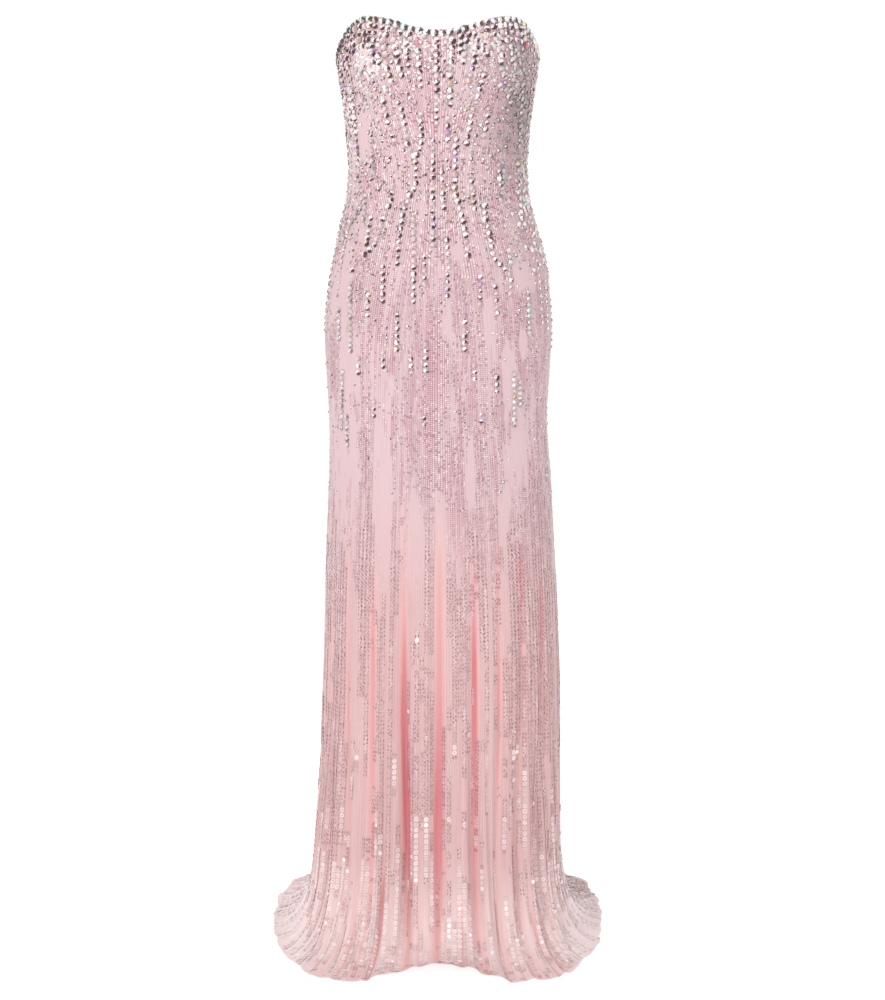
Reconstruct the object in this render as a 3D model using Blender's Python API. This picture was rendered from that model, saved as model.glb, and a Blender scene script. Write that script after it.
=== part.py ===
# Strapless bustier gown, worn form with no wearer, standing on its own hem with a short train.
# Metres, +Z up, -Y is the front. Left and right are as seen from the front.
# The origin is the middle of the bodice at the underarm line, where the wearer holds the gown up.

import math
from collections import namedtuple

import bmesh
import bpy
import numpy as np
from mathutils import Vector

# Driving sizes
HOLD_HEIGHT = 1.255
WALL = 0.0018
SEAM_GAP = 0.0003
SIDE_SEAM_DEG = 92.0
ROUNDNESS = 2.2
CUP_LINE_HEIGHT = 1.20
FOLD_LINE_HEIGHT = 0.60
HEM_LIFT = WALL + 0.0004

# Outline of the body of the gown: heights above the floor, and how far the outer face reaches
# to each side, to the front and to the back. Squareness is the exponent of the oval section.
Station = namedtuple("Station", "height left right front back squareness")
STATIONS = (
    Station(1.340, 0.1340, 0.1375, 0.0965, 0.0800, 2.4),
    Station(1.300, 0.1382, 0.1398, 0.1050, 0.0840, 2.45),
    Station(1.265, 0.1400, 0.1408, 0.1090, 0.0870, 2.5),
    Station(1.215, 0.1338, 0.1348, 0.1050, 0.0870, 2.45),
    Station(1.165, 0.1286, 0.1294, 0.0975, 0.0830, 2.35),
    Station(1.115, 0.1258, 0.1270, 0.0930, 0.0800, 2.25),
    Station(1.075, 0.1295, 0.1308, 0.0960, 0.0850, 2.25),
    Station(1.030, 0.1400, 0.1430, 0.1015, 0.0970, 2.25),
    Station(0.985, 0.1500, 0.1552, 0.1060, 0.1090, 2.3),
    Station(0.940, 0.1568, 0.1605, 0.1090, 0.1190, 2.3),
    Station(0.885, 0.1620, 0.1635, 0.1110, 0.1240, 2.3),
    Station(0.830, 0.1600, 0.1610, 0.1120, 0.1230, 2.3),
    Station(0.760, 0.1565, 0.1578, 0.1125, 0.1180, 2.3),
    Station(0.680, 0.1570, 0.1635, 0.1140, 0.1130, 2.3),
    Station(0.600, 0.1608, 0.1680, 0.1170, 0.1110, 2.3),
    Station(0.490, 0.1642, 0.1742, 0.1210, 0.1130, 2.3),
    Station(0.370, 0.1672, 0.1780, 0.1260, 0.1190, 2.35),
    Station(0.250, 0.1722, 0.1778, 0.1320, 0.1340, 2.4),
    Station(0.120, 0.1812, 0.1795, 0.1420, 0.1600, 2.5),
    Station(0.000, 0.1890, 0.1870, 0.1500, 0.1900, 2.5),
)

# Top edge: angle from the middle of the front, and height above the floor
NeckPoint = namedtuple("NeckPoint", "angle height")
NECKLINE = (
    NeckPoint(0, 1.3100),
    NeckPoint(12, 1.3145),
    NeckPoint(25, 1.3235),
    NeckPoint(35, 1.3275),
    NeckPoint(44, 1.3290),
    NeckPoint(53, 1.3260),
    NeckPoint(62, 1.3150),
    NeckPoint(70, 1.3020),
    NeckPoint(80, 1.2865),
    NeckPoint(92, 1.2710),
    NeckPoint(115, 1.2570),
    NeckPoint(145, 1.2470),
    NeckPoint(180, 1.2440),
)

# Cups: where each one stands furthest out, how far, and how wide it is
CUP_ANGLE = 36.0
CUP_HEIGHT = 1.266
CUP_DEPTH = 0.0150
CUP_SPREAD_DEG = 21.0
CUP_SPREAD_UP = 0.050

# Hem, from the middle of the front round to the middle of the back: where its edge lies, the
# height at which the cloth starts to turn outwards above it, how far the edge is lifted off the
# floor, and how much of a fold's depth becomes height where the cloth lies down
HemPoint = namedtuple("HemPoint", "angle across back turn_height lift roll")
HEM = (
    HemPoint(0, 0.000, -0.238, 0.170, 0.015, 0.3),
    HemPoint(10, 0.042, -0.246, 0.165, 0.011, 0.3),
    HemPoint(20, 0.086, -0.262, 0.155, 0.003, 0.3),
    HemPoint(32, 0.131, -0.266, 0.150, 0.000, 0.3),
    HemPoint(45, 0.177, -0.237, 0.140, 0.000, 0.28),
    HemPoint(60, 0.211, -0.165, 0.125, 0.000, 0.22),
    HemPoint(75, 0.235, -0.085, 0.115, 0.000, 0.15),
    HemPoint(90, 0.243, 0.000, 0.120, 0.000, 0.12),
    HemPoint(105, 0.246, 0.078, 0.145, 0.000, 0.15),
    HemPoint(120, 0.240, 0.143, 0.180, 0.000, 0.25),
    HemPoint(135, 0.218, 0.215, 0.245, 0.000, 0.4),
    HemPoint(150, 0.166, 0.298, 0.335, 0.000, 0.6),
    HemPoint(165, 0.089, 0.362, 0.400, 0.000, 0.7),
    HemPoint(180, 0.000, 0.382, 0.420, 0.000, 0.7),
)

# Folds of the skirt, each a valley that starts at a height and deepens towards the hem
Fold = namedtuple("Fold", "angle_knee angle_hem start_height depth_knee depth_hem")
FOLDS = (
    Fold(-170, -171, 0.56, 0.007, 0.013),
    Fold(-155, -157, 0.62, 0.010, 0.016),
    Fold(-138, -140, 0.60, 0.009, 0.015),
    Fold(-121, -124, 0.52, 0.007, 0.010),
    Fold(-104, -107, 0.50, 0.006, 0.006),
    Fold(-82, -73, 0.50, 0.005, 0.005),
    Fold(-66, -56, 0.60, 0.006, 0.008),
    Fold(-49.5, -41.5, 0.62, 0.006, 0.011),
    Fold(-32, -29.3, 0.58, 0.007, 0.012),
    Fold(-15, -10.5, 0.66, 0.012, 0.016),
    Fold(0.7, -0.2, 0.60, 0.009, 0.013),
    Fold(15.3, 15.8, 0.58, 0.009, 0.013),
    Fold(27.6, 26.4, 0.60, 0.007, 0.011),
    Fold(41.4, 35.5, 0.62, 0.007, 0.011),
    Fold(57, 47, 0.58, 0.008, 0.012),
    Fold(72, 61, 0.56, 0.006, 0.008),
    Fold(87, 78, 0.50, 0.006, 0.005),
    Fold(104, 106, 0.50, 0.006, 0.006),
    Fold(120, 123, 0.54, 0.008, 0.010),
    Fold(137, 140, 0.60, 0.009, 0.015),
    Fold(154, 156, 0.62, 0.010, 0.016),
    Fold(169, 170, 0.55, 0.007, 0.013),
)
FOLD_WIDTH_DEG = 4.4
FOLD_KNEE_HEIGHT = 0.35
DEEPEST_VALLEY = 0.0125
FOLD_SWELL_DEG = 16.0

# Front seams over the cups: angle from the middle at each height
SeamPoint = namedtuple("SeamPoint", "height angle")
PRINCESS_SEAM = (
    SeamPoint(1.34, 32),
    SeamPoint(1.29, 30),
    SeamPoint(1.25, 26),
    SeamPoint(1.20, 19),
    SeamPoint(1.15, 13),
    SeamPoint(1.10, 11),
    SeamPoint(1.05, 12.5),
    SeamPoint(0.97, 16),
    SeamPoint(0.85, 19.5),
    SeamPoint(0.60, 22.5),
    SeamPoint(0.30, 23),
    SeamPoint(0.00, 21),
)

# Rows of the panels, top to bottom. Levels 0 to 1 run from the neckline to the underbust line,
# 1 to 2 from there to the line where the folds start, and 2 to 3 from there to the hem.
BODICE_LEVELS = (0.0, 0.055, 0.14, 0.26, 0.40, 0.55, 0.72, 0.88)
BODY_HEIGHTS = (1.20, 1.165, 1.135, 1.105, 1.075, 1.04, 1.00, 0.96, 0.92, 0.87, 0.81, 0.75, 0.68)
SKIRT_ROWS = 17

# Zip in the middle of the back
ZIP_TAPE_FIRST_ROW = 2
ZIP_TAPE_LAST_ROW = 16
ZIP_TAPE_HALF_WIDTH = 0.011
ZIP_TAPE_THICKNESS = 0.0010
ZIP_TAPE_CLEARANCE = 0.0005
NOTCH_DEPTH = 0.016
NOTCH_HALF_WIDTH = 0.0026
SLIDER_WIDTH = 0.0036
SLIDER_HEIGHT = 0.0085
SLIDER_DROP = 0.0025
SLIDER_PROUD = 0.0008
LUG_WIDTH = 0.0010
LUG_HEIGHT = 0.0026
BAR_RADIUS = 0.0006
BAR_STANDOFF = 0.0017
PULL_EYE_RADIUS = 0.0014
PULL_HOLE_RADIUS = 0.0009
PULL_EYE_WIDTH = 0.0011
PULL_LENGTH = 0.021
PULL_WIDTH = 0.0052
PULL_THICKNESS = 0.0010

# Row of large stones along the top edge
STONE_PITCH = 0.0112
STONE_BAND_HEIGHT = 0.0090
STONE_RISE = 0.0042
STONE_VALLEY_RISE = 0.0013

CLOTH_PINK = (0.86, 0.66, 0.68)
CRYSTAL = (0.80, 0.80, 0.84)
ZIP_PINK = (0.80, 0.58, 0.61)
METAL = (0.78, 0.74, 0.72)


# Smooth curves through the tables

def column(table, name):
    return np.array([getattr(row, name) for row in table], float)


def smooth(x, xs, ys, level_ends=False):
    """Value at x of a smooth curve through the points xs, ys, with xs rising."""
    slopes = np.gradient(ys, xs)
    if level_ends:
        slopes[0] = slopes[-1] = 0
    i = np.clip(np.searchsorted(xs, x) - 1, 0, len(xs) - 2)
    span = xs[i + 1] - xs[i]
    t = np.clip((x - xs[i]) / span, 0, 1)
    rise = ys[i + 1] - ys[i]
    start, end = slopes[i] * span, slopes[i + 1] * span
    bend = t * (1 - t) * ((start - rise) * (1 - t) - (end - rise) * t)
    return ys[i] + rise * t + bend


def by_height(z, name, table=STATIONS):
    return smooth(z, column(table, "height")[::-1], column(table, name)[::-1])


def by_angle(theta, name, table):
    """Same on both sides, so it reads the angle without its sign."""
    around = np.abs(np.degrees(theta))
    around = np.minimum(around, 360 - around)
    return smooth(around, column(table, "angle"), column(table, name), name != "across")


def ease(t):
    t = np.clip(t, 0, 1)
    return t * t * (3 - 2 * t)


# The form of the gown

def body_point(theta, z):
    """Outer face of the fitted body at an angle and a height above the floor."""
    sine, cosine = np.sin(theta), np.cos(theta)
    across = np.abs(sine) ** (2 / ROUNDNESS)
    side = np.where(sine < 0, by_height(z, "left"), by_height(z, "right"))
    deep = np.where(cosine > 0, by_height(z, "front"), by_height(z, "back"))
    square = by_height(z, "squareness")
    depth = np.maximum(1 - across**square, 0) ** (1 / square)
    x = np.sign(sine) * across * side
    y = -np.sign(cosine) * depth * deep
    off_apex = (np.abs(np.degrees(theta)) - CUP_ANGLE) / CUP_SPREAD_DEG
    off_height = (z - CUP_HEIGHT) / CUP_SPREAD_UP
    cup = CUP_DEPTH * np.exp(-(off_apex**2) - off_height**2)
    return np.stack([x * (1 + 0.6 * cup), y - cup, z + 0 * x], -1)


def fold_offset(theta, drop_height):
    """How far the valleys and the rolls between them stand off the mean surface."""
    degrees = np.degrees(theta)
    knee_share = np.clip((FOLD_LINE_HEIGHT - drop_height) / (FOLD_LINE_HEIGHT - FOLD_KNEE_HEIGHT), 0, 1)
    hem_share = np.clip((FOLD_KNEE_HEIGHT - drop_height) / FOLD_KNEE_HEIGHT, 0, 1)
    total = np.zeros(np.broadcast(theta, drop_height).shape)
    for fold in FOLDS:
        angle = fold.angle_knee + (fold.angle_hem - fold.angle_knee) * hem_share
        depth = fold.depth_knee + (fold.depth_hem - fold.depth_knee) * hem_share
        grown = ease((fold.start_height - drop_height) / (fold.start_height - FOLD_KNEE_HEIGHT))
        off = (degrees - angle + 180) % 360 - 180
        valley = np.exp(-((off / FOLD_WIDTH_DEG) ** 2))
        swell = np.exp(-((off / FOLD_SWELL_DEG) ** 2)) * FOLD_WIDTH_DEG / FOLD_SWELL_DEG
        total += depth * grown * (swell - valley)
    return total * np.maximum(knee_share, 0.25)


def skirt_point(theta, fall):
    """Outer face below the fold line. Fall runs from 0 there to 1 at the hem's edge: the cloth
    hangs down to the height where it turns, then sweeps out to the edge on the floor."""
    turn = by_angle(theta, "turn_height", HEM)
    hang_share = (FOLD_LINE_HEIGHT - turn) / (FOLD_LINE_HEIGHT - turn + 0.75 * turn + 0.10)
    hanging = fall < hang_share
    z_hang = FOLD_LINE_HEIGHT + (turn - FOLD_LINE_HEIGHT) * np.clip(fall / hang_share, 0, 1)
    t = np.clip((fall - hang_share) / (1 - hang_share), 0, 1)
    start = body_point(theta, turn)
    middle = body_point(theta, 0 * turn)
    middle[..., 2] = HEM_LIFT
    side = np.sign(np.sin(theta))
    lift = by_angle(theta, "lift", HEM) + HEM_LIFT
    end = np.stack([side * by_angle(theta, "across", HEM), by_angle(theta, "back", HEM), lift], -1)
    t3 = t[..., None]
    swept = (1 - t3) ** 2 * start + 2 * t3 * (1 - t3) * middle + t3**2 * end
    base = np.where(hanging[..., None], body_point(theta, z_hang), swept)
    drop_height = np.where(hanging, z_hang, turn * (1 - t))
    offset = fold_offset(theta, drop_height)
    outward = np.stack([np.sin(theta), -np.cos(theta), 0 * theta], -1)
    lying = ease((t - 0.45) / 0.55)[..., None]
    rise = by_angle(theta, "roll", HEM) * (offset + DEEPEST_VALLEY)
    upward = np.stack([0 * theta, 0 * theta, rise], -1)
    return base + outward * offset[..., None] * (1 - 0.6 * lying) + upward * lying


def gown_point(theta, level):
    """Outer face of the gown, at an angle from the middle of the front and a level 0 to 3."""
    theta, level = np.broadcast_arrays(np.asarray(theta, float), np.asarray(level, float))
    edge = by_angle(theta, "height", NECKLINE)
    top = edge + (CUP_LINE_HEIGHT - edge) * np.clip(level, 0, 1)
    z = top + (FOLD_LINE_HEIGHT - CUP_LINE_HEIGHT) * np.clip(level - 1, 0, 1)
    upper = body_point(theta, z)
    lower = skirt_point(theta, np.clip(level - 2, 0, 1))
    return np.where((level > 2)[..., None], lower, upper)


def gown_normal(theta, level):
    """Outward direction of the face, from its slopes along and across."""
    step_angle, step_level = 0.012, 0.02
    low, high = np.clip(level - step_level, 0, 3), np.clip(level + step_level, 0, 3)
    along = gown_point(theta, high) - gown_point(theta, low)
    across = gown_point(theta + step_angle, level) - gown_point(theta - step_angle, level)
    normal = np.cross(along, across)
    return normal / np.linalg.norm(normal, axis=-1, keepdims=True)


def moved_out(theta, level, distance):
    """Points of the face moved out along its normal, or in for a negative distance."""
    return gown_point(theta, level) + gown_normal(theta, level) * np.asarray(distance)[..., None]


def to_frame(points):
    return points - np.array([0, 0, HOLD_HEIGHT])


# Panels

def level_of_height(z):
    return 1 + (CUP_LINE_HEIGHT - z) / (CUP_LINE_HEIGHT - FOLD_LINE_HEIGHT)


def row_levels():
    """Levels of the coarse rows above the folds, and of the fine ones from there down."""
    coarse = list(BODICE_LEVELS) + [level_of_height(z) for z in BODY_HEIGHTS]
    fine = [2 + 0.93 * i / (SKIRT_ROWS - 3) for i in range(SKIRT_ROWS - 2)] + [2.965, 3.0]
    return coarse, fine


def seam_angle(name, level):
    """Angle of a seam at a level, in degrees from the middle of the front."""
    if name == "princess":
        height = np.interp(level, (0, 1, 2, 3), (1.325, CUP_LINE_HEIGHT, FOLD_LINE_HEIGHT, 0))
        return by_height(height, "angle", PRINCESS_SEAM)
    return {"side": SIDE_SEAM_DEG, "back": 180.0}[name]


def seam_half_gap(name, level):
    """Half the gap at a seam: it opens into a notch at the top of the zip."""
    if name != "back":
        return SEAM_GAP / 2
    below_top = level * (NECKLINE[-1].height - CUP_LINE_HEIGHT)
    return SEAM_GAP / 2 + NOTCH_HALF_WIDTH * float(below_top < NOTCH_DEPTH)


def edge_angle(seam, sign, level, inward):
    """Angle of a panel's edge: the seam's, less its half gap, measured along the cloth."""
    theta = math.radians(sign * seam_angle(seam, level))
    step = 0.004
    ends = gown_point(np.array([theta, theta + inward * step]), np.array([level, level]))
    metres_per_radian = np.linalg.norm(ends[1] - ends[0]) / step
    return theta + inward * seam_half_gap(seam, level) / metres_per_radian


def panel_rows(first, last, columns):
    """Outer and inner points of each row of a panel between two seams, first and last, each a
    seam's name and its side. Rows above the folds have half the columns."""
    coarse, fine = row_levels()
    outer, inner = [], []
    for level, count in [(v, columns // 2) for v in coarse] + [(v, columns) for v in fine]:
        start = edge_angle(*first, level, 1)
        end = edge_angle(*last, level, -1)
        theta = np.linspace(start, end, count + 1)
        levels = np.full(count + 1, level)
        outer.append(to_frame(gown_point(theta, levels)))
        inner.append(to_frame(moved_out(theta, levels, np.full(count + 1, -WALL))))
    return outer, inner


def strip_faces(upper, lower):
    """Triangles between two rows of point numbers, where the lower may have twice as many."""
    faces = []
    if len(upper) == len(lower):
        for j in range(len(upper) - 1):
            faces += [(upper[j], lower[j], lower[j + 1]), (upper[j], lower[j + 1], upper[j + 1])]
        return faces
    for j in range(len(upper) - 1):
        a, b = upper[j], upper[j + 1]
        left, middle, right = lower[2 * j : 2 * j + 3]
        faces += [(a, left, middle), (a, middle, b), (b, middle, right)]
    return faces


def wall_mesh(name, outer, inner):
    """Closed wall from matching rows of outer and inner points."""
    counts = [len(row) for row in outer]
    starts = np.concatenate([[0], np.cumsum(counts)])
    total = int(starts[-1])
    rows = [list(range(starts[i], starts[i + 1])) for i in range(len(counts))]
    faces = []
    for upper, lower in zip(rows, rows[1:]):
        for face in strip_faces(upper, lower):
            faces += [face, tuple(total + k for k in reversed(face))]
    left = [row[0] for row in rows]
    right = [row[-1] for row in rows]
    loop = rows[0][::-1] + left[1:] + rows[-1][1:] + right[-2::-1]
    for a, b in zip(loop, loop[1:]):
        faces += [(b, a, a + total), (b, a + total, b + total)]
    mesh = bpy.data.meshes.new(name)
    points = np.concatenate([np.concatenate(outer), np.concatenate(inner)])
    mesh.from_pydata(points.tolist(), [], faces)
    face_outwards(mesh)
    return mesh


def face_outwards(mesh):
    work = bmesh.new()
    work.from_mesh(mesh)
    bmesh.ops.recalc_face_normals(work, faces=work.faces)
    work.to_mesh(mesh)
    work.free()


# Objects and materials

def material(name, colour, roughness, metallic=0.0):
    made = bpy.data.materials.new(name)
    made.use_nodes = True
    shader = made.node_tree.nodes["Principled BSDF"]
    shader.inputs["Base Color"].default_value = (*colour, 1)
    shader.inputs["Roughness"].default_value = roughness
    shader.inputs["Metallic"].default_value = metallic
    made.diffuse_color = (*colour, 1)
    return made


def add_object(name, mesh, collection, finish, sharp_deg=40):
    obj = bpy.data.objects.new(name, mesh)
    collection.objects.link(obj)
    mesh.materials.append(finish)
    mesh.shade_smooth()
    mesh.set_sharp_from_angle(angle=math.radians(sharp_deg))
    return obj


def add_panels(collection):
    princess, side, back = "princess", "side", "back"
    cuts = {
        "front_centre_panel": ((princess, -1), (princess, 1), 16),
        "front_left_panel": ((side, -1), (princess, -1), 22),
        "front_right_panel": ((princess, 1), (side, 1), 22),
        "back_left_panel": ((back, -1), (side, -1), 24),
        "back_right_panel": ((side, 1), (back, 1), 24),
    }
    inner_rows = {}
    for name, (first, last, columns) in cuts.items():
        outer, inner = panel_rows(first, last, columns)
        inner_rows[name] = inner
        finish = material(f"{name}_cloth", CLOTH_PINK, 0.55)
        add_object(name, wall_mesh(name, outer, inner), collection, finish)
    return inner_rows


def add_stone_edging(collection):
    """Band of large stones on the outer face along the top edge, open at the zip."""
    end = math.radians(180) - 0.034
    fine = np.linspace(-end, end, 2401)
    edge = gown_point(fine, np.zeros(len(fine)))
    length = np.concatenate([[0], np.cumsum(np.linalg.norm(np.diff(edge, axis=0), axis=1))])
    stones = round(length[-1] / STONE_PITCH)
    theta = np.interp(np.linspace(0, length[-1], 2 * stones + 1), length, fine)
    peak = np.arange(len(theta)) % 2
    rise = STONE_VALLEY_RISE + (STONE_RISE - STONE_VALLEY_RISE) * peak
    drop_share = np.array([0.02, 0.02, 0.5, 1.0, 1.0])
    rise_share = np.array([0.0, 0.55, 1.0, 0.55, 0.0])
    reach = by_angle(theta, "height", NECKLINE) - CUP_LINE_HEIGHT
    rings = []
    for share, up in zip(drop_share, rise_share):
        level = share * STONE_BAND_HEIGHT / reach
        rings.append(to_frame(moved_out(theta, level, 0.0004 + rise * up)))
    sections = np.stack(rings, 1)
    count, sides = sections.shape[:2]
    faces = [tuple(range(sides)), tuple(range((count - 1) * sides, count * sides))]
    for i in range(count - 1):
        for k in range(sides):
            here, after = i * sides + k, i * sides + (k + 1) % sides
            faces.append((here, after, after + sides, here + sides))
    mesh = bpy.data.meshes.new("neck_stone_edging")
    mesh.from_pydata(sections.reshape(-1, 3).tolist(), [], faces)
    face_outwards(mesh)
    add_object("neck_stone_edging", mesh, collection, material("edging_stones", CRYSTAL, 0.15), 20)


# Zip

def add_zip_tape(left_inner, right_inner, collection):
    """Closed tape behind the middle back seam, on the inner face of the two back panels."""
    coarse, fine = row_levels()
    levels = coarse + fine
    outer, inner = [], []
    for i in range(ZIP_TAPE_FIRST_ROW, ZIP_TAPE_LAST_ROW + 1):
        sides = []
        for edge, beside in ((left_inner[i][0], left_inner[i][1]), (right_inner[i][-1], right_inner[i][-2])):
            along = beside - edge
            sides.append(edge + along * ZIP_TAPE_HALF_WIDTH / np.linalg.norm(along))
        middle = (left_inner[i][0] + right_inner[i][-1]) / 2
        row = np.array([sides[1], middle, sides[0]])
        inwards = -gown_normal(np.array([math.pi]), np.array([levels[i]]))
        outer.append(row + inwards * ZIP_TAPE_CLEARANCE)
        inner.append(row + inwards * (ZIP_TAPE_CLEARANCE + ZIP_TAPE_THICKNESS))
    mesh = wall_mesh("zip_tape", outer, inner)
    add_object("zip_tape", mesh, collection, material("zip_tape_cloth", ZIP_PINK, 0.7))


def box(name, low, high, collection):
    work = bmesh.new()
    bmesh.ops.create_cube(work, size=1)
    low, high = Vector(low), Vector(high)
    bmesh.ops.scale(work, vec=high - low, verts=work.verts)
    bmesh.ops.translate(work, vec=(low + high) / 2, verts=work.verts)
    mesh = bpy.data.meshes.new(name)
    work.to_mesh(mesh)
    work.free()
    obj = bpy.data.objects.new(name, mesh)
    collection.objects.link(obj)
    return obj


def rod_across(name, centre, radius, width, collection, sides=16):
    """Cylinder along X."""
    work = bmesh.new()
    made = bmesh.ops.create_cone(
        work, cap_ends=True, segments=sides, radius1=radius, radius2=radius, depth=width
    )
    turn = Vector((0, 0, 1)).rotation_difference(Vector((1, 0, 0))).to_matrix()
    bmesh.ops.rotate(work, cent=(0, 0, 0), matrix=turn, verts=made["verts"])
    bmesh.ops.translate(work, vec=Vector(centre), verts=made["verts"])
    mesh = bpy.data.meshes.new(name)
    work.to_mesh(mesh)
    work.free()
    obj = bpy.data.objects.new(name, mesh)
    collection.objects.link(obj)
    return obj


def as_helper(obj):
    obj.hide_render = True
    obj.display_type = "WIRE"


def combine(obj, other, operation):
    step = obj.modifiers.new(f"{operation.lower()}_{other.name}", "BOOLEAN")
    step.object = other
    step.operation = operation
    as_helper(other)


def zip_places():
    """Where the slider sits: its middle height, its outer face and its bar."""
    height = NECKLINE[-1].height - SLIDER_DROP - SLIDER_HEIGHT / 2
    level = (NECKLINE[-1].height - height) / (NECKLINE[-1].height - CUP_LINE_HEIGHT)
    cloth = to_frame(gown_point(np.array([math.pi]), np.array([level])))[0]
    face = cloth[1] + SLIDER_PROUD
    bar = Vector((0, face + BAR_STANDOFF, cloth[2] + 0.0008))
    return cloth, face, bar


def add_slider(collection, helpers):
    cloth, face, bar = zip_places()
    back = cloth[1] - WALL - 0.0001
    low = (-SLIDER_WIDTH / 2, back, cloth[2] - SLIDER_HEIGHT / 2)
    high = (SLIDER_WIDTH / 2, face, cloth[2] + SLIDER_HEIGHT / 2)
    slider = box("zip_slider", low, high, collection)
    outer = face + BAR_STANDOFF + BAR_RADIUS + 0.0003
    lug_x = SLIDER_WIDTH / 2 - LUG_WIDTH
    for side in (-1, 1):
        inside, outside = sorted((side * lug_x, side * (SLIDER_WIDTH / 2 - 0.0001)))
        low = (inside, face - 0.0005, bar.z - LUG_HEIGHT / 2)
        high = (outside, outer, bar.z + LUG_HEIGHT / 2)
        combine(slider, box(f"lug_{side + 1}", low, high, helpers), "UNION")
    rod = rod_across("bar", bar, BAR_RADIUS, SLIDER_WIDTH - 0.0010, helpers, 12)
    combine(slider, rod, "UNION")
    finish_metal(slider)


def finish_metal(obj):
    obj.data.materials.append(material(f"{obj.name}_metal", METAL, 0.3, 1.0))


def add_pull(collection, helpers):
    """Flat drop-shaped tab with a rolled eye round the slider's bar, which is its hinge."""
    bar = zip_places()[2]
    pull = rod_across("zip_pull", (0, 0, 0), PULL_EYE_RADIUS, PULL_EYE_WIDTH, collection)
    pull.location = bar
    neck_top = -(PULL_HOLE_RADIUS + PULL_EYE_RADIUS) / 2
    neck_low = -0.0050
    half_thick = PULL_THICKNESS / 2
    neck_half = PULL_EYE_WIDTH / 2 - 0.00005
    neck = box(
        "pull_neck", (-neck_half, -half_thick, neck_low), (neck_half, half_thick, neck_top), helpers
    )
    outline = pull_outline(neck_low + 0.0006)
    combine_at(pull, neck, bar)
    combine_at(pull, outline_plate("pull_plate", outline, PULL_THICKNESS, helpers), bar)
    hole = rod_across("pull_hole", (0, 0, 0), PULL_HOLE_RADIUS, 4 * PULL_EYE_WIDTH, helpers)
    hole.location = bar
    combine(pull, hole, "DIFFERENCE")
    finish_metal(pull)


def combine_at(obj, other, place):
    other.location = place
    combine(obj, other, "UNION")


def pull_outline(top):
    """Drop shape: narrow at the top, a half circle at the foot."""
    half = PULL_WIDTH / 2
    low = -PULL_LENGTH + half
    arc = [math.radians(a) for a in range(0, -181, -20)]
    foot = [(half * math.cos(a), low + half * math.sin(a)) for a in arc]
    shoulder = PULL_EYE_WIDTH / 2 + 0.0002
    return [(shoulder, top)] + foot + [(-shoulder, top)]


def outline_plate(name, outline, thickness, collection):
    """Plate in the XZ plane from its outline."""
    work = bmesh.new()
    near = [work.verts.new((x, -thickness / 2, z)) for x, z in outline]
    face = work.faces.new(near)
    pushed = bmesh.ops.extrude_face_region(work, geom=[face])
    verts = [v for v in pushed["geom"] if isinstance(v, bmesh.types.BMVert)]
    bmesh.ops.translate(work, vec=(0, thickness, 0), verts=verts)
    bmesh.ops.recalc_face_normals(work, faces=work.faces)
    mesh = bpy.data.meshes.new(name)
    work.to_mesh(mesh)
    work.free()
    obj = bpy.data.objects.new(name, mesh)
    collection.objects.link(obj)
    return obj


def main():
    for obj in list(bpy.data.objects):
        bpy.data.objects.remove(obj)
    gown = bpy.data.collections.new("bustier_gown")
    helpers = bpy.data.collections.new("cutters")
    for collection in (gown, helpers):
        bpy.context.scene.collection.children.link(collection)
    inner_rows = add_panels(gown)
    add_stone_edging(gown)
    add_zip_tape(inner_rows["back_left_panel"], inner_rows["back_right_panel"], gown)
    add_slider(gown, helpers)
    add_pull(gown, helpers)


main()
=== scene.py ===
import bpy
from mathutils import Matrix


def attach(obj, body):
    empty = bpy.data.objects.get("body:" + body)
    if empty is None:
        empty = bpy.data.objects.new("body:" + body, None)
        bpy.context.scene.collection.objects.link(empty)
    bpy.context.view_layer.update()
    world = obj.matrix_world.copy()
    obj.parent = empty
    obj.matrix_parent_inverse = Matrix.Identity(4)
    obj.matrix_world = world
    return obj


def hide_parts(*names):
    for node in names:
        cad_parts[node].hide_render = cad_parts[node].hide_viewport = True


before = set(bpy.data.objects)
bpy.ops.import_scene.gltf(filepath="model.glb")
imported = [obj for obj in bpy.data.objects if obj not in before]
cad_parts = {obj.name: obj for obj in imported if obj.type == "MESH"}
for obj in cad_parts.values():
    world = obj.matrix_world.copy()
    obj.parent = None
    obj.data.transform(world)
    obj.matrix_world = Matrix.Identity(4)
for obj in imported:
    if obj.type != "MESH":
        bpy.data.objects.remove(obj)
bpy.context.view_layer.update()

import math

import bpy
import numpy as np
from mathutils import Vector

holdHeight = 1.255

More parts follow.
